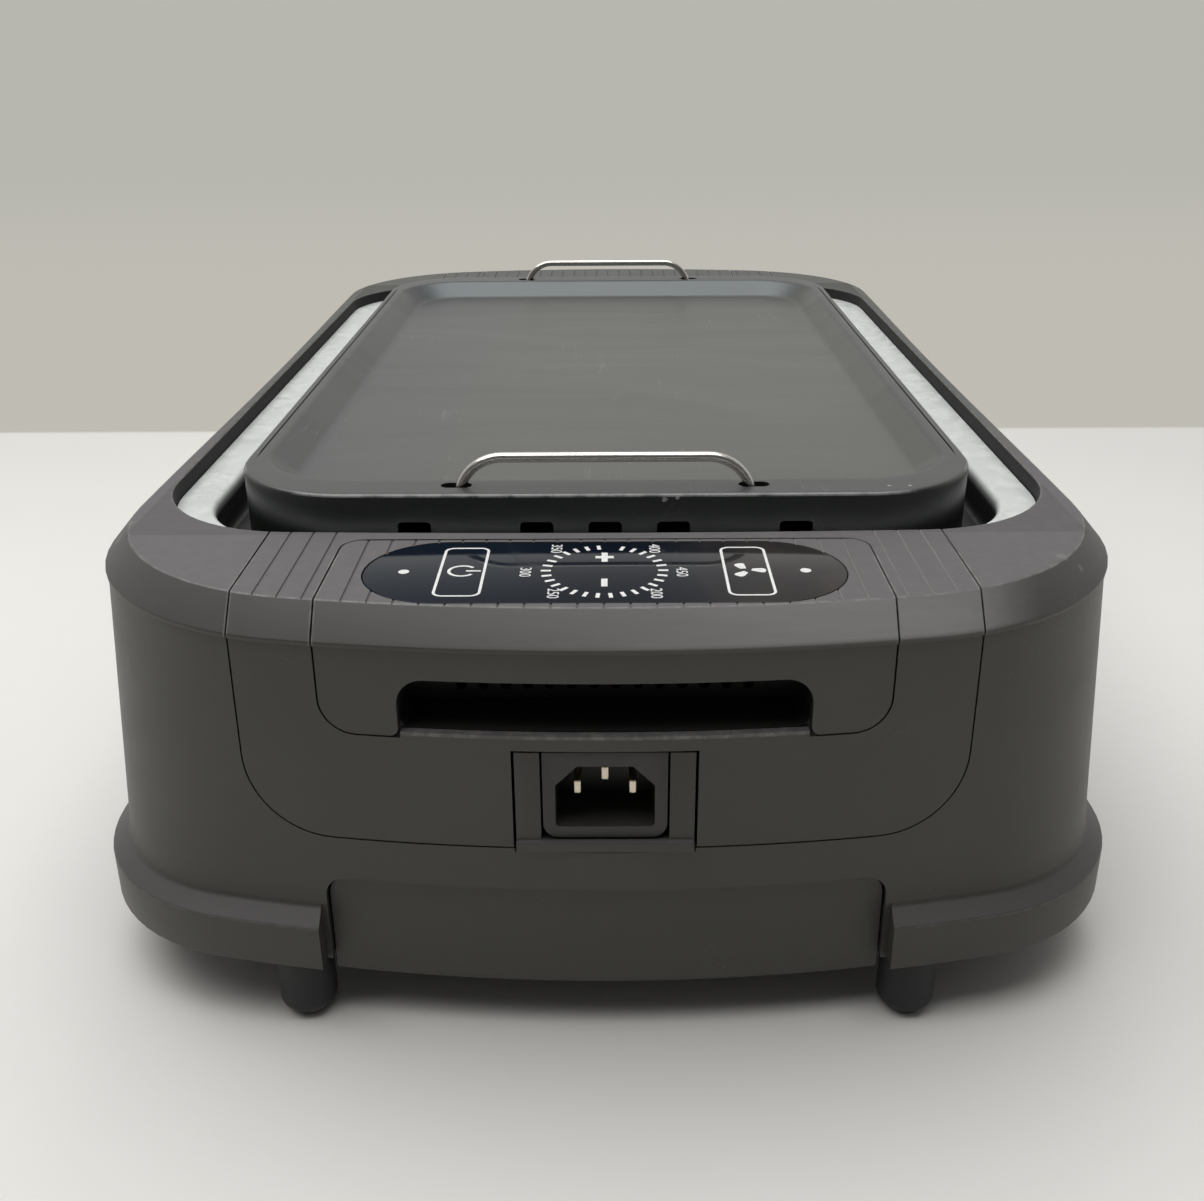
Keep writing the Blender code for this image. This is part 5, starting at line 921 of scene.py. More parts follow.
def touch_glass(name):
    """Near-black glass with finger smears and a painted reflection, bluish to the left and brownish to the right."""
    sheet = Sheet(name)
    base = tuple(tints().glass)
    smear = sheet.noise(38.0, 5.0, 0.6, sheet.stretched((1.0, 0.6, 1.0), (0.0, 0.0, radians(30))), 1.2)
    prints = sheet.noise(120.0, 4.0, 0.7)
    specks = sheet.cells(900.0).ramp(0.05, 0.02) * sheet.noise(60.0, 2.0).ramp(0.5, 0.7)
    # Painted reflection: bluish on the left, brownish on the right, growing away from the middle and broken by smears.
    painted_reflection = sheet.mix(sheet.x.ramp(-0.010, 0.050), (0.007, 0.012, 0.020), (0.040, 0.034, 0.030))
    smear_and_reflection = sheet.x.size().ramp(0.004, 0.040) * (0.55 + smear.ramp(0.35, 0.70) * 0.45)
    colour = sheet.mix(smear_and_reflection, base, painted_reflection)
    colour = sheet.mix(specks * 0.35, colour, (0.30, 0.30, 0.30))
    rough = 0.05 + smear.ramp(0.5, 0.78) * 0.14 + prints.ramp(0.55, 0.8) * 0.06 + specks * 0.3
    return sheet.set(base_color=colour, roughness=rough.limited(), specular_ior_level=0.12,
                     normal=sheet.bump(sheet.noise(25.0, 2.0), 0.00012, 0.25))


def white_print(name):
    sheet = Sheet(name)
    base = tuple(tints().print_white)
    grain = sheet.noise(1800.0, 2.0)
    colour = sheet.mix(grain.ramp(0.3, 0.75), shade(base, 0.82), base)
    return sheet.set(base_color=colour, roughness=(0.38 + (grain - 0.5) * 0.2).limited())


def socket_black(name):
    sheet = Sheet(name)
    base = tuple(tints().socket)
    grain = sheet.noise(3000.0, 2.0)
    cloud = sheet.noise(80.0, 3.0)
    colour = sheet.mix(cloud, shade(base, 0.85), shade(base, 1.2))
    return sheet.set(base_color=colour, roughness=(0.42 + (grain - 0.5) * 0.2 + (cloud - 0.5) * 0.1).limited(),
                     normal=sheet.bump(grain, 0.00004, 0.6))


def pin_metal(name):
    sheet = Sheet(name)
    base = tuple(tints().pin)
    rub = sheet.noise(1.0, 3.0, 0.6, sheet.stretched((2200.0, 90.0, 2200.0)))
    colour = sheet.mix(rub, shade(base, 0.84), shade(base, 1.1))
    return sheet.set(base_color=colour, roughness=(0.30 + (rub - 0.5) * 0.2).limited(), metallic=1.0,
                     normal=sheet.bump(rub, 0.00002, 0.4))


def foot_rubber(name):
    sheet = Sheet(name)
    base = tuple(tints().rubber)
    grain = sheet.noise(1500.0, 3.0)
    dust = sheet.noise(140.0, 4.0).ramp(0.48, 0.75) * sheet.z.ramp(0.009, 0.0)
    colour = sheet.mix(grain, shade(base, 0.8), shade(base, 1.25))
    colour = sheet.mix(dust * 0.35, colour, (0.22, 0.21, 0.20))
    return sheet.set(base_color=colour, roughness=(0.60 + (grain - 0.5) * 0.2 + dust * 0.1).limited(),
                     normal=sheet.bump(grain, 0.00006, 0.7))


def heater_tube(name):
    """Oxidised tube with a faint heat tint along its runs."""
    sheet = Sheet(name)
    cloud = sheet.noise(55.0, 4.0, 0.6)
    heat = sheet.noise(16.0, 2.0)
    colour = sheet.mix(cloud, (0.075, 0.072, 0.068), (0.15, 0.145, 0.14))
    colour = sheet.mix(heat.ramp(0.5, 0.75) * 0.4, colour, (0.11, 0.09, 0.10))
    return sheet.set(base_color=colour, roughness=(0.48 + (cloud - 0.5) * 0.25).limited(), metallic=0.7,
                     normal=sheet.bump(sheet.noise(700.0, 3.0), 0.00005, 0.6))


def ceramic(name):
    sheet = Sheet(name)
    cloud = sheet.noise(120.0, 4.0)
    pits = sheet.cells(1200.0).ramp(0.14, 0.05)
    colour = sheet.mix(cloud, (0.62, 0.58, 0.50), (0.76, 0.72, 0.64))
    colour = sheet.mix(pits * 0.4, colour, (0.42, 0.38, 0.32))
    return sheet.set(base_color=colour, roughness=(0.55 + (cloud - 0.5) * 0.2).limited(),
                     normal=sheet.bump(cloud - pits * 0.5, 0.0001, 0.6))


def circuit_board(name):
    """Green board with copper tracks under its lacquer."""
    sheet = Sheet(name)
    lines = sheet.node("ShaderNodeTexBrick", {"offset": 0.35, "squash": 0.6, "squash_frequency": 3},
                       {"Vector": sheet.place, "Scale": 260.0, "Mortar Size": 0.045, "Mortar Smooth": 0.1}, "Fac")
    cloud = sheet.noise(90.0, 3.0)
    colour = sheet.mix(cloud, (0.012, 0.085, 0.038), (0.020, 0.125, 0.055))
    colour = sheet.mix(lines * 0.6, colour, (0.05, 0.22, 0.09))
    return sheet.set(base_color=colour, roughness=(0.36 + (cloud - 0.5) * 0.2).limited(),
                     normal=sheet.bump(lines * 0.5 + cloud * 0.2, 0.00006, 0.6))


def fan_plastic(name):
    sheet = Sheet(name)
    cloud = sheet.noise(70.0, 4.0)
    grain = sheet.noise(1800.0, 2.0)
    colour = sheet.mix(cloud, (0.36, 0.37, 0.37), (0.47, 0.48, 0.48))
    return sheet.set(base_color=colour, roughness=(0.44 + (grain - 0.5) * 0.2).limited(),
                     normal=sheet.bump(grain, 0.00005, 0.5))


FINISHES = {
    "shell_finish": moulded_shell, "rim_finish": rim_wear, "inside_finish": dark_inside,
    "plate_finish": non_stick, "liner_finish": aluminised, "zinc_finish": zinc_sheet,
    "handle_finish": handle_steel, "glass_finish": touch_glass, "print_finish": white_print,
    "socket_finish": socket_black, "pin_finish": pin_metal, "rubber_finish": foot_rubber,
    "heater_finish": heater_tube, "ceramic_finish": ceramic, "board_finish": circuit_board,
    "fan_finish": fan_plastic,
}

ENDS = (("front", 0.0), ("rear", pi))
HOUSING_WALL = 0.0026
RIM_SKIN = 0.0022
PANEL_WALL = 0.0024
CONSOLE_WALL = 0.0026
PRINT_RISE = 0.00004
KEY_PLACE = 0.0364
JAMB_WIDTH = 0.0016
JAMB_RISE = 0.0013
DRAWER_MARGIN = 0.0023
SILL_HALF_WIDTH = 0.0226
SILL_BOTTOM = 0.0585
SILL_TOP = 0.0616
STRIP_INNER = 0.0162
STRIP_TOP = 0.0870
INLET_WINDOW = 0.0233
LINER_STEP = 0.014
HANDLE_INSET = 0.0088


def band_profile():
    """(inset, height) points of the rim's outside, from its top face over the chamfer to the wall."""
    size = sizes()
    edge = size.band_bottom + size.band_edge
    return eased(((size.chamfer_run + 0.0016, size.rim_top, 0), (size.chamfer_run, size.rim_top, 0.0011),
                  (0, edge, 0.0007), (0, size.band_bottom, 0.00025), (size.band_step, size.band_bottom, 0)), False)


def panel_front(grow):
    """Front view of an end panel, grown by a gap."""
    size = sizes()
    half = size.panel_half_width + grow
    corner = size.panel_corner + grow
    top = size.rim_top + OVERRUN
    return eased(mirrored(((half, size.panel_bottom - grow, corner), (half, top, 0))), steps=14)


def console_front(grow, floor):
    """Front view of a console, grown by a gap, its middle standing on floor."""
    size = sizes()
    half = size.console_half_width + grow
    bottom = size.console_bottom - grow
    hold = size.hold_half_width - grow
    arch = floor > size.hold_bottom
    right = [(hold, floor, 0.007 if arch else 0), (hold, bottom, 0.0022 if arch else 0),
             (half, bottom, 0.009 + grow), (half, size.rim_top + OVERRUN, 0)]
    return eased(mirrored(right), steps=10)


def console_space(name, grow, floor):
    """The block of space that a console takes."""
    size = sizes()
    reach = size.half_length + OVERRUN
    half = size.console_half_width + grow
    back = size.console_back - grow
    front = prism(name, console_front(grow, floor), -reach, -back, "Y")
    above = eased(mirrored(((half, -reach - OVERRUN, 0), (half, -back, 0.006 + grow))), steps=8)
    from_above = prism(name + "_above", above, size.console_bottom - 2 * OVERRUN, size.rim_top + 2 * OVERRUN)
    return shaped(front, ("INTERSECT", from_above))


def groove_row(name, first, count):
    """Cutters for a row of fine grooves along Y in the top face."""
    size = sizes()
    low = size.rim_top - size.groove_depth
    half = size.groove_width / 2
    outline = ((-half, size.rim_top + OVERRUN), (-half, size.rim_top), (-half * 0.25, low), (half * 0.25, low),
               (half, size.rim_top), (half, size.rim_top + OVERRUN))
    cutter = prism(name, outline, -size.half_length - OVERRUN, OVERRUN - size.mouth_half_length, "Y")
    return repeated(name, row_tree, cutter, {"Count": count, "Start": (first, 0, 0),
                                             "Step": (size.groove_pitch, 0, 0)}, finish("inside_finish"))


class GRILL_OT_housing(bpy.types.Operator):
    """Outer wall with its ledge, skirt and screw bosses"""
    bl_idname = "grill.housing"
    bl_label = "Housing"

    def execute(self, context):
        size = sizes()
        wall = size.band_step
        skirt = wall - size.skirt_reach
        top = size.band_bottom - SEAT_GAP
        drop = size.wall_foot - size.skirt_top
        inner_wall = wall + HOUSING_WALL
        inner_skirt = skirt + HOUSING_WALL
        under = size.wall_foot - HOUSING_WALL / 2
        profile = eased(((wall, top, 0), (wall, size.wall_foot, 0.0028), (skirt, size.skirt_top, 0.0012),
                         (skirt, size.foot_height, 0.0006), (inner_skirt, size.foot_height, 0),
                         (inner_skirt, under - drop, 0.0010), (inner_wall, under, 0), (inner_wall, top, 0)))
        mesh = loft("housing_shell", wall_rings(profile), band=True)
        reach = size.half_length + size.skirt_reach + OVERRUN
        depth = size.half_length - 0.030
        side = size.drawer_half_width + RUNNING_GAP
        over = DRAWER_BOX[1].z + RUNNING_GAP
        cut_half = size.drawer_half_width + DRAWER_MARGIN
        boss = turned("boss", ((0, 0.0228), (0.0042, 0.0228), (0.0042, 0.060), (0, 0.060)), 24)
        bore = turned("bore", ((0, 0.0200), (0.0017, 0.0200), (0.0017, 0.0338), (0, 0.0338)), 16)
        tools = [(operation, repeated(name, places_tree, part, {}, finish("shell_finish"), screw_places()))
                 for operation, name, part in (("UNION", "bosses", boss), ("DIFFERENCE", "bores", bore))]
        jamb_inner = size.drawer_half_width
        jamb_outer = cut_half + JAMB_WIDTH
        jamb_top = size.skirt_top + JAMB_RISE
        jamb_reach = end_reach(jamb_outer, inner_skirt - 0.0005)
        jamb_back = min(abs(DRAWER_BOX[0].y), abs(DRAWER_BOX[1].y)) + SEAT_GAP
        for name, turn in ENDS:
            for low, high in ((-jamb_outer, -jamb_inner), (jamb_inner, jamb_outer)):
                jamb = block("jamb_" + name, (low, -jamb_reach, size.foot_height), (high, -jamb_back, jamb_top))
                tools.append(("UNION", spun(jamb, turn)))
        for name, turn in ENDS:
            window = prism("window_" + name, panel_front(SEAM_GAP), -reach, -depth, "Y")
            tools.append(("DIFFERENCE", spun(window, turn)))
            skirt_cut = across("skirt_cut_" + name, cut_half, lambda x: (
                (end_reach(x, skirt - OVERRUN), size.foot_height - OVERRUN),
                (end_reach(x, skirt - OVERRUN), size.wall_foot + SEAM_GAP),
                (end_reach(x, wall - MERGE), size.wall_foot + SEAM_GAP),
                (end_reach(x, wall - MERGE), size.foot_height - OVERRUN)))
            tools.append(("DIFFERENCE", spun(skirt_cut, turn)))
            low = size.foot_height - OVERRUN
            opening = eased(mirrored(((side, low, 0), (side, over, 0.006))), steps=8)
            tools.append(("DIFFERENCE", spun(prism("opening_" + name, opening, -reach, 0.0045 - 0.2413, "Y"), turn)))
        notch = block("sill_notch", (-SILL_HALF_WIDTH - SEAM_GAP, -reach, SILL_BOTTOM - SEAM_GAP),
                      (SILL_HALF_WIDTH + SEAM_GAP, -depth, size.panel_bottom + OVERRUN))
        tools.append(("DIFFERENCE", notch))
        add_piece("housing_shell", shaped(mesh, *tools), finish("shell_finish"), "housing",
                  ("base_housing",))
        return {"FINISHED"}


def screw_places():
    """Where the cover's six screws stand: three along each long side."""
    size = sizes()
    reach = size.half_width - 0.0071
    return [(side * (reach - (size.waist if row == 0 else 0)), row * 0.150, 0)
            for side in (-1, 1) for row in (-1, 0, 1)]


class GRILL_OT_rim(bpy.types.Operator):
    """Chamfered rim with its mouth and the lip under the liner"""
    bl_idname = "grill.rim"
    bl_label = "Rim"

    def execute(self, context):
        size = sizes()
        lip = 0.0040
        wall = 0.0020
        under = size.rim_top - RIM_SKIN
        inside = eased(((lip, size.lip_top, 0), (0, size.lip_top, 0.0005), (0, size.rim_top, 0.0008),
                        (-0.0014, size.rim_top, 0)), False)
        rings = level_rings(mouth_plan, inside)
        outside = [tuple(point) for point in band_profile()[:-1]]
        outside += [(RIM_SKIN, size.band_bottom), (RIM_SKIN, size.band_bottom + size.band_edge / 2),
                    (size.chamfer_run + size.band_edge / 2, under)]
        rings += level_rings(outer_plan, outside)
        lip_foot = size.lip_top - RIM_SKIN
        rings += level_rings(mouth_plan, ((-wall, under), (-wall, lip_foot), (lip, lip_foot)))
        mesh = loft("rim_band", rings, band=True)
        half = size.panel_half_width + SEAM_GAP
        inner = size.mouth_half_length - OVERRUN
        step = size.mouth_half_length + OVERRUN
        outer = size.half_length + OVERRUN
        tools = []
        for name, turn in ENDS:
            outline = ((-inner, size.lip_top), (-inner, size.rim_top + OVERRUN), (-outer, size.rim_top + OVERRUN),
                       (-outer, size.panel_bottom), (-step, size.panel_bottom), (-step, size.lip_top))
            tools.append(("DIFFERENCE", spun(prism("rim_window_" + name, outline, -half, half, "X"), turn)))
        add_piece("rim_band", shaped(mesh, *tools), finish("rim_finish"), "housing", ("top_rim",))
        return {"FINISHED"}


class GRILL_OT_end_panels(bpy.types.Operator):
    """Grooved panels set into both ends of the housing"""
    bl_idname = "grill.end_panels"
    bl_label = "End panels"

    def execute(self, context):
        size = sizes()
        under = size.rim_top - RIM_SKIN
        bottom = size.panel_bottom - OVERRUN
        seat = size.lip_top + SEAT_GAP
        edge = size.band_bottom + size.band_edge / 2
        band = band_profile()
        levels = [bottom + (size.band_bottom - bottom) * step / 8 for step in range(8)]

        def section(x):
            points = [(mouth_reach(x, 0), seat), (mouth_reach(x, 0), size.rim_top - 0.0005),
                      (mouth_reach(x, -0.0005), size.rim_top)]
            points += [(shell_reach(x, inset, size.rim_corner), height) for inset, height in band[:-1]]
            points.append((shell_reach(x, size.band_step, size.wall_corner), size.band_bottom))
            points += [(shell_reach(x, size.band_step, wall_corner(level)), level) for level in reversed(levels)]
            points += [(shell_reach(x, size.band_step + PANEL_WALL, wall_corner(bottom)), bottom),
                       (shell_reach(x, size.band_step + PANEL_WALL, size.wall_corner), edge),
                       (shell_reach(x, size.chamfer_run + size.band_edge, size.rim_corner), under),
                       (mouth_reach(x, -PANEL_WALL), under), (mouth_reach(x, -PANEL_WALL), seat)]
            return points

        far = size.half_length + OVERRUN
        near = size.mouth_half_length - OVERRUN
        first = size.console_half_width + size.groove_pitch / 2
        count = 1 + int((size.panel_half_width - size.groove_width - first) / size.groove_pitch)
        for name, turn in ENDS:
            mesh = across(name + "_panel", size.panel_half_width, section)
            tools = [("INTERSECT", prism(name + "_outline", panel_front(0), -far, -near, "Y"))]
            tools.append(("DIFFERENCE", groove_row(name + "_grooves_right", first, count)))
            left = -first - size.groove_pitch * (count - 1)
            tools.append(("DIFFERENCE", groove_row(name + "_grooves_left", left, count)))
            tools.append(("DIFFERENCE", console_space(name + "_space", SEAM_GAP, size.hold_bottom)))
            if name == "front":
                tools.append(("DIFFERENCE", block("inlet_window", (-INLET_WINDOW, -far, bottom - OVERRUN),
                                                  (INLET_WINDOW, -near, STRIP_TOP + SEAM_GAP))))
            add_piece(name + "_panel", spun(shaped(mesh, *tools), turn), finish("shell_finish"), "housing",
                      (name + "_end_panel",))
        return {"FINISHED"}


class GRILL_OT_consoles(bpy.types.Operator):
    """Covers over both hand holds, the front one with a pocket for the touch panel"""
    bl_idname = "grill.consoles"
    bl_label = "Consoles"

    def execute(self, context):
        size = sizes()
        under = size.rim_top - CONSOLE_WALL
        back = size.console_back
        flange = under - 0.0040
        band = band_profile()
        edge = size.band_bottom + size.band_edge / 2

        def section(x):
            points = [(back, flange), (back, size.rim_top - 0.0004), (back + 0.0004, size.rim_top)]
            points += [(end_reach(x, inset), height) for inset, height in band]
            points += [(end_reach(x, size.band_step), size.console_bottom - OVERRUN),
                       (end_reach(x, size.band_step + CONSOLE_WALL), size.console_bottom - OVERRUN),
                       (end_reach(x, size.band_step + CONSOLE_WALL), edge),
                       (end_reach(x, size.chamfer_run + size.band_edge), under),
                       (back + CONSOLE_WALL, under), (back + CONSOLE_WALL, flange)]
            return points

        count = 21
        for name, turn in ENDS:
            mesh = across(name + "_cover", size.console_half_width, section)
            tools = [("INTERSECT", console_space(name + "_block", 0, size.hold_top)),
                     ("DIFFERENCE", groove_row(name + "_cover_grooves", -size.groove_pitch * (count - 1) / 2, count))]
            if name == "front":
                middle = (TOUCH_BOX[0] + TOUCH_BOX[1]) / 2
                outline = stadium(TOUCH_BOX[1].x + SEAT_GAP, (TOUCH_BOX[1].y - TOUCH_BOX[0].y) / 2 + SEAT_GAP, 24)
                pocket = prism("touch_pocket", moved(outline, 0, middle.y), TOUCH_BOX[0].z - SEAT_GAP,
                               size.rim_top + OVERRUN)
                tools.append(("DIFFERENCE", pocket))
            label = "control_console" if name == "front" else "rear_console"
            add_piece(name + "_cover", spun(shaped(mesh, *tools), turn), finish("shell_finish"), "housing",
                      (label,))
        return {"FINISHED"}


class GRILL_OT_hand_holds(bpy.types.Operator):
    """Pockets behind the hand holds, with a row of vents"""
    bl_idname = "grill.hand_holds"
    bl_label = "Hand holds"

    def execute(self, context):
        size = sizes()
        wall = 0.0020
        half = size.hold_half_width + wall
        low = size.hold_bottom - wall
        high = size.hold_top + 2 * wall
        back = size.half_length - size.recess_depth - wall
        face = size.band_step + CONSOLE_WALL + SEAT_GAP
        count = 14
        vent = prism("vent", round_outline(size.vent_radius, 20), -back - wall - OVERRUN, OVERRUN - back, "Y")
        for name, turn in ENDS:
            mesh = across(name + "_pocket", half, lambda x: (
                (back, low), (end_reach(x, face), low), (end_reach(x, face), high), (back, high)))
            inner = eased(mirrored(((size.hold_half_width, size.hold_bottom, 0.003),
                                    (size.hold_half_width, high - wall, 0.003))), steps=6)
            hollow = prism(name + "_hollow", inner, -size.half_length - OVERRUN, -back - wall, "Y")
            row = repeated(name + "_vents", row_tree, vent.copy(), {
                "Count": count, "Start": (-size.vent_pitch * (count - 1) / 2, 0, 0.0955),
                "Step": (size.vent_pitch, 0, 0)}, finish("inside_finish"))
            made = shaped(mesh, ("DIFFERENCE", hollow), ("DIFFERENCE", row))
            add_piece(name + "_pocket", spun(made, turn), finish("inside_finish"), "housing",
                      (name + "_hand_recess",))
        return {"FINISHED"}


class GRILL_OT_touch_panel(bpy.types.Operator):
    """Glass touch panel with its printed marks"""
    bl_idname = "grill.touch_panel"
    bl_label = "Touch panel"

    def execute(self, context):
        middle = (TOUCH_BOX[0] + TOUCH_BOX[1]) / 2
        half_depth = (TOUCH_BOX[1].y - TOUCH_BOX[0].y) / 2
        top = TOUCH_BOX[1].z
        outline = moved(stadium(TOUCH_BOX[1].x, half_depth, 24), 0, middle.y)
        mesh = softened(prism("touch_glass", outline, TOUCH_BOX[0].z, top), 0.00035, 3)
        add_piece("touch_glass", mesh, finish("glass_finish"), "housing", ("touch_panel",))
        white = finish("print_finish")
        stamp = Matrix.Translation((0, middle.y, top))
        tick = block("tick", (-0.0013, -0.0005, 0), (0.0013, 0.0005, PRINT_RISE))
        ring = repeated("ticks", ring_tree, tick, {"Count": 30, "Radius": 0.0150, "Left Out": 7}, white)
        ring.transform(Matrix.Scale(1.08, 4, (0, 1, 0)))
        marks = [ring]
        marks.append(block("plus_bar", (-0.0024, 0.0084, 0), (0.0024, 0.0100, PRINT_RISE)))
        marks.append(block("plus_stem", (-0.0008, 0.0060, 0), (0.0008, 0.0084, PRINT_RISE)))
        marks.append(block("plus_tip", (-0.0008, 0.0100, 0), (0.0008, 0.0124, PRINT_RISE)))
        marks.append(block("minus", (-0.0008, -0.0105, 0), (0.0008, -0.0055, PRINT_RISE)))
        for side in (-1, 1):
            marks.append(prism("dot", moved(round_outline(0.0014), side * 0.0513, -0.0004), 0, PRINT_RISE))
            outer = eased(mirrored(((0.0060, -0.0164, 0.0026), (0.0060, 0.0164, 0.0026))), steps=6)
            inner = eased(mirrored(((0.0053, -0.0157, 0.0019), (0.0053, 0.0157, 0.0019))), steps=6)
            marks.append(flat_ring("key_outline", moved(outer, side * KEY_PLACE, -0.0001),
                                   moved(inner, side * KEY_PLACE, -0.0001), PRINT_RISE))
        labels = ((-0.0129, 0.0154, "350"), (-0.0203, -0.0010, "300"), (-0.0127, -0.0148, "250"),
                  (0.0131, 0.0152, "400"), (0.0196, -0.0012, "450"), (0.0127, -0.0150, "200"))
        for x, y, text in labels:
            marks.append(lettering("label_" + text, text, 0.0042, -pi / 2, (x, y, PRINT_RISE)))
        marks += power_sign(-KEY_PLACE) + fan_sign(KEY_PLACE)
        mesh = united("panel_marks", marks)
        mesh.transform(stamp)
        add_piece("panel_marks", mesh, white, "housing", ())
        return {"FINISHED"}


def flat_ring(name, outer, inner, rise):
    """A flat frame between two outlines with the same number of points."""
    rings = [[(point.x, point.y, height) for point in outline]
             for outline, height in ((outer, 0), (outer, rise), (inner, rise), (inner, 0))]
    return loft(name, rings, band=True)


def arc_band(name, radius, width, start, end, steps=28):
    """A flat arc of even width about the origin."""
    outline = []
    for edge, order in ((radius + width / 2, range(steps + 1)), (radius - width / 2, range(steps, -1, -1))):
        for step in order:
            angle = start + (end - start) * step / steps
            outline.append(Vector((edge * cos(angle), edge * sin(angle))))
    return prism(name, outline, 0, PRINT_RISE)


def power_sign(x):
    """A broken ring with a bar, the common sign for a switch."""
    ring = arc_band("power_ring", 0.0034, 0.0008, radians(40), radians(320))
    ring.transform(Matrix.Translation((x, 0, 0)))
    return [ring, block("power_bar", (x + 0.0010, -0.0004, 0), (x + 0.0048, 0.0004, PRINT_RISE))]


def fan_sign(x):
    """Three blades round a hub."""
    blade = eased(((0.0009, -0.0004, 0), (0.0044, -0.0021, 0.0009), (0.0050, 0.0012, 0.0011),
                   (0.0014, 0.0010, 0)), steps=5)
    made = repeated("fan_blades", ring_tree, prism("sign_blade", blade, 0, PRINT_RISE),
                    {"Count": 3, "Radius": 0.0001, "Left Out": 9}, finish("print_finish"))
    made.transform(Matrix.Translation((x, 0, 0)))
    return [made]


class GRILL_OT_inlet(bpy.types.Operator):
    """Mains inlet with its pins, side strips and sill"""
    bl_idname = "grill.inlet"
    bl_label = "Inlet"

    def execute(self, context):
        low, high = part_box("power_inlet")
        face = -low.y
        half = high.x
        outline = eased(mirrored(((half, low.z, 0.004), (half, high.z, 0))), steps=10)
        body = prism("inlet_body", outline, -face, high.y, "Y")
        wide, bottom, top, slope, ease = 0.0125, 0.0656, 0.0830, 0.0055, 0.0012
        right = ((wide, bottom, ease), (wide, top - slope, ease), (wide - slope, top, ease))
        aperture = eased(mirrored(right), steps=6)
        socket = prism("inlet_socket", aperture, -face - OVERRUN, -face + 0.0175, "Y")
        made = shaped(body, ("DIFFERENCE", socket))
        tools = []
        for key in ("line", "neutral", "earth"):
            pin_low, pin_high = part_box("inlet_pin_" + key)
            gap = Vector((SEAT_GAP, 0, SEAT_GAP))
            deep = Vector((0, 0.0135, 0))
            tools.append(("DIFFERENCE", block("pin_slot", pin_low - gap + deep, pin_high + gap)))
        made = softened(shaped(made, *tools), 0.0003, 2)
        add_piece("inlet_body", made, finish("socket_finish"), "housing", ("power_inlet",))
        for key in ("line", "neutral", "earth"):
            pin_low, pin_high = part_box("inlet_pin_" + key)
            pin = softened(block("pin_" + key, pin_low, pin_high), 0.0005, 3)
            add_piece("pin_" + key, pin, finish("pin_finish"), "housing", ("inlet_pin_" + key,))
        back = -face + 0.003
        strips = mirrored(((STRIP_INNER, SILL_TOP, 0), (STRIP_INNER, STRIP_TOP, 0), (SILL_HALF_WIDTH, STRIP_TOP, 0),
                           (SILL_HALF_WIDTH, SILL_BOTTOM, 0)))
        sill = block("sill", (-SILL_HALF_WIDTH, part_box("inlet_frame")[0].y, SILL_BOTTOM),
                     (SILL_HALF_WIDTH, back - 0.0015, SILL_TOP))
        shell = shaped(prism("inlet_strips", strips, -face, back, "Y"), ("UNION", sill))
        add_piece("inlet_strips", softened(shell, 0.00025, 2), finish("shell_finish"), "housing",
                  ("inlet_frame",))
        return {"FINISHED"}


class GRILL_OT_liner(bpy.types.Operator):
    """Pressed heat liner with its flange, shelf, pan and drain"""
    bl_idname = "grill.liner"
    bl_label = "Liner"

    def execute(self, context):
        low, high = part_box("liner")
        sheet = 0.0008
        top = high.z
        shelf = 0.1067
        floor = 0.0450
        reach = LINER_STEP
        drain = [(point.x, point.y) for point in plan(0.045, 0.105, MOUTH_BOW, 0.020)]
        well = eased(((-0.0040, top, 0), (0, top, 0.0020), (0, shelf, 0.0025), (reach, shelf, 0.0020),
                      (reach, floor, 0.006), (reach + 0.010, floor, 0)), False)
        under = eased(((reach + 0.010, floor - sheet, 0), (reach - sheet, floor - sheet, 0.006 + sheet),
                       (reach - sheet, shelf - sheet, 0.0012), (-sheet, shelf - sheet, 0.0033),
                       (-sheet, top - sheet, 0.0012), (-0.0040, top - sheet, 0)), False)
        rings = level_rings(mouth_plan, ((0.0004, top - sheet), (0.0004, top)))
        rings += level_rings(well_plan, well)
        rings += [[(x, y, height) for x, y in drain] for height in (floor - 0.0006, floor - 0.0006 - sheet)]
        rings += level_rings(well_plan, under)
        mesh = loft("heat_liner", rings, band=True)
        end = WELL_HALF_LENGTH - reach
        tools = []
        for x in (-0.014, 0.014):
            hole = prism("heater_hole", moved(round_outline(0.0036), x, 0.096), -end - OVERRUN, OVERRUN - end, "Y")
            tools.append(("DIFFERENCE", hole))
        intake = prism("intake", moved(round_outline(0.015), 0, 0.064), end - OVERRUN, end + OVERRUN, "Y")
        tools.append(("DIFFERENCE", intake))
        add_piece("heat_liner", shaped(mesh, *tools), finish("liner_finish"), "housing", ("liner",))
        return {"FINISHED"}


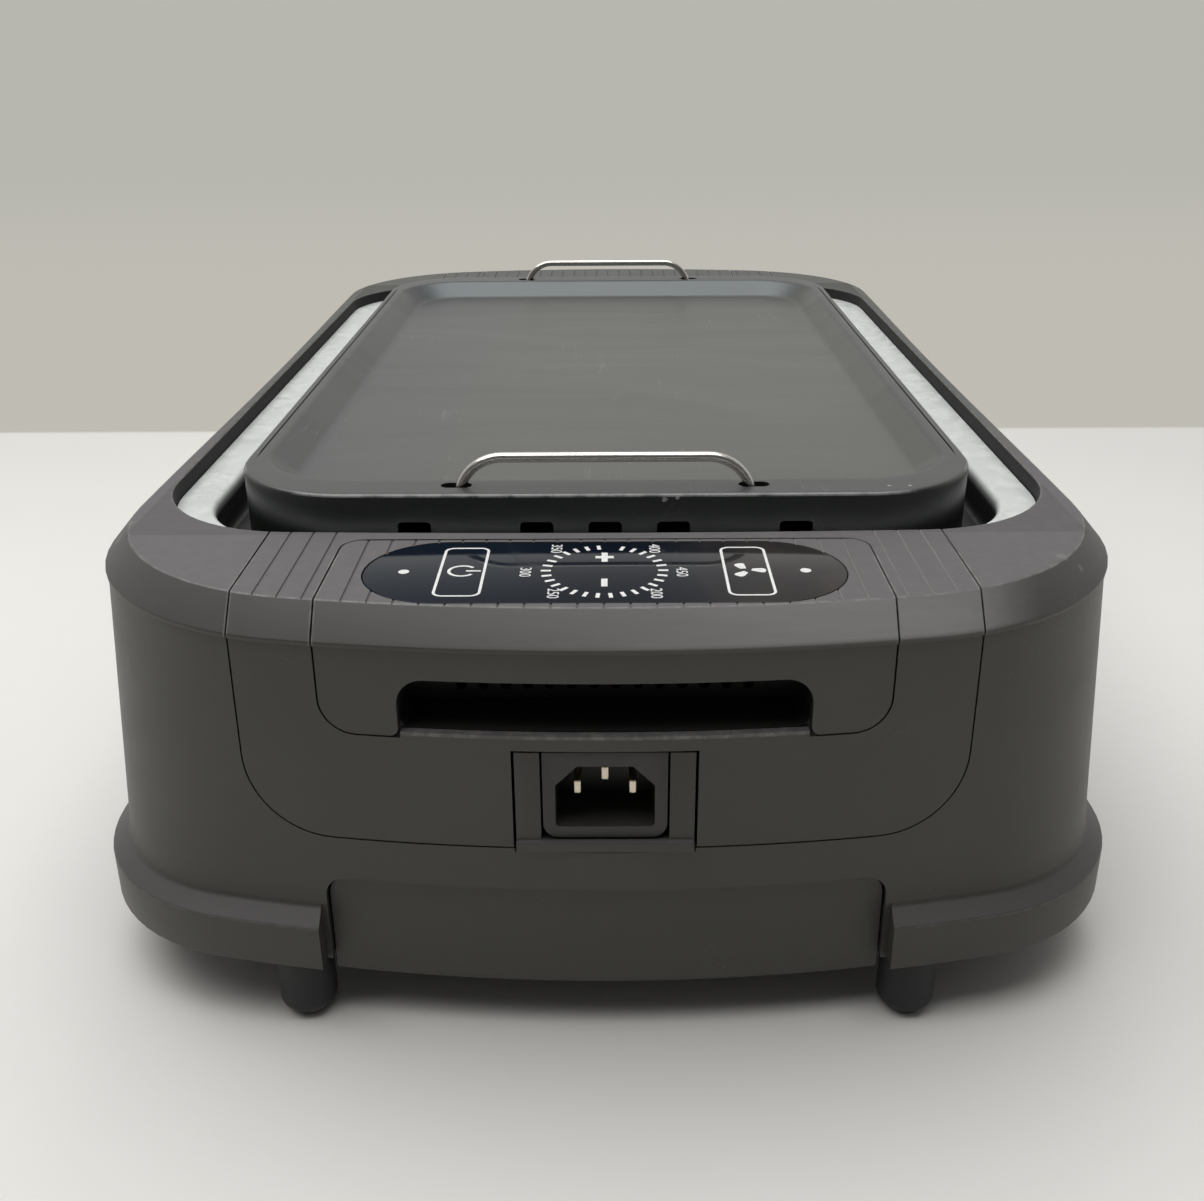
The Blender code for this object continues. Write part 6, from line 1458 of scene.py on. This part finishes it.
class GRILL_OT_plate(bpy.types.Operator):
    """Cast griddle plate with its basin, skirt, handle slots and air slots"""
    bl_idname = "grill.plate"
    bl_label = "Griddle plate"

    def execute(self, context):
        size = sizes()
        top = size.plate_top
        floor = top - size.basin_depth
        seat = PLATE_BOX[0].z
        run = 0.009
        wall = 0.0030
        thick = 0.0035
        root = 0.0020
        basin = eased(((run + 0.012, floor, 0), (run, floor, 0.006), (0, top, 0.0035), (-0.0035, top, 0)), False, 7)
        skirt = eased(((0.0030, top, 0), (0, top, 0.0012), (0, seat, 0.0006), (wall, seat, 0),
                       (wall, top - thick, 0)), False, 5)
        rings = level_rings(basin_plan, basin) + level_rings(plate_plan, skirt)
        rings += level_rings(basin_plan, ((-root, top - thick), (run - root, floor - thick)))
        mesh = loft("grill_plate", rings)
        inner, outer, slot_half = 0.0384, 0.0474, 0.0023
        reach = size.plate_half_length - HANDLE_INSET
        tools = []
        for side in (-1, 1):
            for end in (-1, 1):
                outline = moved(stadium((outer - inner) / 2, slot_half, 12), side * (inner + outer) / 2, end * reach)
                tools.append(("DIFFERENCE", prism("handle_slot", outline, floor, top + OVERRUN)))
        for end in (-1, 1):
            for x in (-0.0545, -0.0195, 0.0, 0.0195, 0.0545):
                outer_y = end * (size.plate_half_length + OVERRUN)
                inner_y = end * (size.plate_half_length - wall - OVERRUN)
                notch = eased(mirrored(((0.00475, seat - OVERRUN, 0), (0.00475, 0.1220, 0.0012))), steps=4)
                tools.append(("DIFFERENCE", prism("air_slot", moved(notch, x, 0), min(outer_y, inner_y),
                                                  max(outer_y, inner_y), "Y")))
        add_piece("grill_plate", shaped(mesh, *tools), finish("plate_finish"), "plate",
                  ("griddle_plate",))
        return {"FINISHED"}


class GRILL_OT_handles(bpy.types.Operator):
    """Pull-up wire handles at both ends of the plate"""
    bl_idname = "grill.handles"
    bl_label = "Wire handles"

    def execute(self, context):
        size = sizes()
        rise, leg, toe, bend = 0.0083, 0.0423, 0.0097, 0.0128
        y = size.plate_half_length - HANDLE_INSET
        for name, end in (("front", -1), ("rear", 1)):
            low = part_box(name + "_wire_handle")[0]
            hook = low.z + size.wire_radius - size.plate_top
            right = [(leg + toe, 0, hook, 0), (leg, 0, hook, 0.003), (leg, 0, rise, bend)]
            points = eased(right + [(-corner[0], *corner[1:]) for corner in reversed(right)], False, 16)
            mesh = wire(name + "_handle_wire", points, size.wire_radius)
            mesh.transform(Matrix.Translation((0, end * y, size.plate_top)))
            add_piece(name + "_handle_wire", mesh, finish("handle_finish"), name + "_handle",
                      (name + "_wire_handle",), 60)
        return {"FINISHED"}


class GRILL_OT_drawer(bpy.types.Operator):
    """Bowed front of the drip tray and the fixed panel at the far end"""
    bl_idname = "grill.drawer"
    bl_label = "Drip tray front"

    def execute(self, context):
        size = sizes()
        face = size.band_step + 0.0020
        half = size.drawer_half_width
        for name, turn, node, body in (("tray_front", 0, "drip_tray_front", "tray"),
                                       ("low_panel", pi, "rear_low_panel", "housing")):
            low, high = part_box(node)
            back = min(abs(low.y), abs(high.y))
            mesh = across(name, half, lambda x: (
                (back, low.z), (end_reach(x, face + 0.0008), low.z), (end_reach(x, face), low.z + 0.0008),
                (end_reach(x, face), high.z - 0.0008), (end_reach(x, face + 0.0008), high.z), (back, high.z)))
            outline = eased(mirrored(((half, low.z - OVERRUN, 0), (half, high.z, 0.006))), steps=8)
            shape = prism(name + "_outline", outline, -size.half_length - OVERRUN, OVERRUN - back, "Y")
            add_piece(name, spun(shaped(mesh, ("INTERSECT", shape)), turn), finish("shell_finish"), body,
                      (node,))
        return {"FINISHED"}


class GRILL_OT_feet(bpy.types.Operator):
    """Four round rubber feet with domed soles"""
    bl_idname = "grill.feet"
    bl_label = "Feet"

    def execute(self, context):
        size = sizes()
        radius = size.foot_radius
        peg = 0.003
        top = size.foot_height - SEAT_GAP
        peg_top = FOOT_BOX[1].z
        profile = eased(((0, 0, 0), (0.0045, 0, 0.0025), (radius, 0.0042, 0.0030), (radius, top, 0.0004),
                         (peg, top, 0), (peg, peg_top, 0.0006), (0, peg_top, 0)), False, 6)
        foot = turned("foot", profile)
        for end in ("front", "rear"):
            for side in ("left", "right"):
                node = "foot_%s_%s" % (end, side)
                low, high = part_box(node)
                middle = (low + high) / 2
                mesh = repeated(node + "_pad", places_tree, foot.copy(), {}, finish("rubber_finish"),
                                [(middle.x, middle.y, 0)])
                add_piece(node + "_pad", mesh, finish("rubber_finish"), "housing", (node,), 40)
        return {"FINISHED"}


class GRILL_OT_screws(bpy.types.Operator):
    """Six pan-head screws with crossed slots under the bottom cover"""
    bl_idname = "grill.screws"
    bl_label = "Cover screws"

    def execute(self, context):
        low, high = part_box("cover_screw_1")
        head = (high.x - low.x) / 2
        rise = 0.0018
        profile = eased(((0, low.z, 0), (head - 0.0009, low.z, 0), (head, low.z + 0.0009, 0.0004),
                         (head, low.z + rise, 0), (0.0013, low.z + rise, 0), (0.0013, high.z - 0.0013, 0),
                         (0, high.z, 0)), False, 4)
        screw = turned("screw", profile, 24)
        deep = low.z + 0.0010
        for turn in (0, pi / 2):
            slot = block("slot", (-0.0021, -0.0004, low.z - OVERRUN), (0.0021, 0.0004, deep))
            screw = shaped(screw, ("DIFFERENCE", spun(slot, turn + 0.3)))
        mesh = repeated("screw_set", places_tree, screw, {}, finish("zinc_finish"), screw_places())
        add_piece("screw_set", mesh, finish("zinc_finish"), "housing",
                  ["cover_screw_%d" % number for number in range(1, 7)])
        return {"FINISHED"}


class GRILL_OT_heater(bpy.types.Operator):
    """Bent tube heater under the plate"""
    bl_idname = "grill.heater"
    bl_label = "Heating element"

    def execute(self, context):
        far, back, high, half_pitch, bend = 0.150, 0.118, 0.1126, 0.014, 0.014
        outer, inner, terminal = 0.084, 0.030, 0.096
        end = WELL_HALF_LENGTH - LINER_STEP
        left = [(-half_pitch, -end - 0.024, terminal, 0), (-half_pitch, 0.0048 - end, terminal, bend / 3),
                (-half_pitch, -far, high, bend / 3), (-half_pitch, -back - bend, high, bend / 2),
                (-outer, -back - bend, high, bend), (-outer, far, high, bend), (-inner, far, high, bend),
                (-inner, bend - back, high, bend)]
        points = eased(left + [(-corner[0], *corner[1:]) for corner in reversed(left)], False, 10)
        add_piece("heater_loop", wire("heater_loop", points, 0.0033), finish("heater_finish"), "housing",
                  ("heating_element",), 60)
        return {"FINISHED"}


class GRILL_OT_plain_parts(bpy.types.Operator):
    """Finishes of the parts whose solids are shown as they are"""
    bl_idname = "grill.plain_parts"
    bl_label = "Plain parts"

    def execute(self, context):
        finishes = {
            "inside_finish": ("bottom_cover", "fan_housing", "drip_tray"),
            "zinc_finish": ("element_bracket_front", "element_bracket_rear", "tray_runner_left", "tray_runner_right",
                            "tray_tunnel", "fan_motor", "grease_filter"),
            "ceramic_finish": ("terminal_block", "thermal_cutout"),
            "board_finish": ("control_board", "power_board"),
            "fan_finish": ("fan_impeller",),
        }
        for label, nodes in finishes.items():
            for node in nodes:
                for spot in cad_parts[node].material_slots:
                    spot.material = finish(label)
        return {"FINISHED"}


def soft_lamp(name, place, aim, width, height, power, glossy=False):
    """A rectangular lamp that looks at a point and that the camera doesn't see."""
    lamp = bpy.data.lights.new(name, "AREA")
    lamp.shape = "RECTANGLE"
    lamp.size = width
    lamp.size_y = height
    lamp.energy = power
    held = bpy.data.objects.new(name, lamp)
    held.location = place
    held.rotation_euler = (Vector(aim) - Vector(place)).to_track_quat("-Z", "Y").to_euler()
    held.visible_camera = False
    held.visible_glossy = glossy
    bpy.context.scene.collection.objects.link(held)


class GRILL_OT_stage(bpy.types.Operator):
    """Table, soft lamps and the camera"""
    bl_idname = "grill.stage"
    bl_label = "Stage"

    def execute(self, context):
        stage = context.scene.grill_stage
        half, far = 1.8, 4.0
        mesh = bpy.data.meshes.new("table")
        mesh.from_pydata([(-half, -half, 0), (half, -half, 0), (half, far, 0), (-half, far, 0)], [], [(0, 1, 2, 3)])
        table = bpy.data.objects.new("table", mesh)
        context.scene.collection.objects.link(table)
        sheet = Sheet("table_finish")
        grain = sheet.noise(40.0, 4.0)
        beyond = sheet.y.ramp(stage.table_edge - 0.004, stage.table_edge + 0.004)
        colour = sheet.mix(grain, shade(stage.table, 0.985), shade(stage.table, 1.01))
        # Painted shade: the table darker towards its far edge.
        colour = sheet.mix(sheet.y.ramp(0.0, stage.table_edge), colour, shade(stage.table, 0.90))
        higher = sheet.y.ramp(stage.table_edge, 2.5)
        glow = sheet.tree.nodes.new("ShaderNodeEmission")
        sheet.feed(glow.inputs["Color"], sheet.mix(higher, tuple(stage.wall), tuple(stage.wall_top)))
        mesh.materials.append(sheet.set(base_color=colour, roughness=0.65))
        sheet.give_way(beyond, glow.outputs[0])
        world = bpy.data.worlds.new("air")
        context.scene.world = world
        world.use_nodes = True
        nodes = world.node_tree.nodes
        link = world.node_tree.links.new
        rays = nodes.new("ShaderNodeLightPath")
        seen = nodes.new("ShaderNodeBackground")
        seen.inputs["Color"].default_value = (*stage.wall_top, 1.0)
        seen.inputs["Strength"].default_value = 1.0
        light = nodes["Background"]
        light.inputs["Color"].default_value = (1.0, 0.99, 0.97, 1.0)
        aim = nodes.new("ShaderNodeTexCoord")
        split = nodes.new("ShaderNodeSeparateXYZ")
        link(aim.outputs["Generated"], split.inputs[0])
        spread = nodes.new("ShaderNodeMapRange")
        spread.interpolation_type = "SMOOTHSTEP"
        for label, value in (("From Min", -0.7), ("From Max", 0.7), ("To Min", stage.air_front),
                             ("To Max", stage.air_back)):
            spread.inputs[label].default_value = value
        link(split.outputs["Y"], spread.inputs["Value"])
        link(spread.outputs[0], light.inputs["Strength"])
        blend = nodes.new("ShaderNodeMixShader")
        link(rays.outputs["Is Camera Ray"], blend.inputs[0])
        link(light.outputs[0], blend.inputs[1])
        link(seen.outputs[0], blend.inputs[2])
        link(blend.outputs[0], nodes["World Output"].inputs["Surface"])
        soft_lamp("overhead_lamp", (-0.25, -0.05, 1.5), (0, 0, 0), 1.8, 1.8, stage.overhead, True)
        soft_lamp("window_lamp", (0.2, 4.0, 1.9), (0, 0, 0.1), 3.0, 1.6, stage.window)
        camera = bpy.data.objects.new("camera", bpy.data.cameras.new("camera"))
        context.scene.collection.objects.link(camera)
        camera.data.lens = stage.lens
        camera.data.sensor_width = 36.0
        camera.data.clip_start = 0.01
        forward = Vector((-sin(stage.yaw) * cos(stage.pitch), cos(stage.yaw) * cos(stage.pitch), -sin(stage.pitch)))
        level = Vector((cos(stage.yaw), sin(stage.yaw), 0))
        right = level * cos(stage.roll) + level.cross(forward) * sin(stage.roll)
        upright = right.cross(forward)
        turn = Matrix((right, upright, -forward)).transposed()
        camera.matrix_world = Matrix.Translation(stage.camera_place) @ turn.to_4x4()
        context.scene.camera = camera
        context.scene.view_settings.view_transform = "Standard"
        return {"FINISHED"}


class GRILL_PT_builder(bpy.types.Panel):
    """Buttons that build the grill's pieces"""
    bl_idname = "GRILL_PT_builder"
    bl_label = "Grill"
    bl_space_type = "VIEW_3D"
    bl_region_type = "UI"
    bl_category = "Grill"

    def draw(self, context):
        for operator in OPERATORS:
            self.layout.operator(operator.bl_idname)


OPERATORS = (GRILL_OT_housing, GRILL_OT_rim, GRILL_OT_end_panels, GRILL_OT_consoles, GRILL_OT_hand_holds,
             GRILL_OT_touch_panel, GRILL_OT_inlet, GRILL_OT_liner, GRILL_OT_plate, GRILL_OT_handles,
             GRILL_OT_drawer, GRILL_OT_feet, GRILL_OT_screws, GRILL_OT_heater, GRILL_OT_plain_parts,
             GRILL_OT_stage)
GROUPS = (("grill_sizes", GrillSizes), ("grill_tints", GrillTints), ("grill_stage", GrillStage))


def register():
    for _, group in GROUPS:
        bpy.utils.register_class(group)
    for name, group in GROUPS:
        setattr(bpy.types.Scene, name, bpy.props.PointerProperty(type=group))
    for operator in OPERATORS:
        bpy.utils.register_class(operator)
    bpy.utils.register_class(GRILL_PT_builder)


def unregister():
    bpy.utils.unregister_class(GRILL_PT_builder)
    for operator in reversed(OPERATORS):
        bpy.utils.unregister_class(operator)
    for name, group in reversed(GROUPS):
        delattr(bpy.types.Scene, name)
        bpy.utils.unregister_class(group)


def main():
    register()
    for operator in OPERATORS:
        category, name = operator.bl_idname.split(".")
        getattr(getattr(bpy.ops, category), name)()


if __name__ == "__main__":
    main()
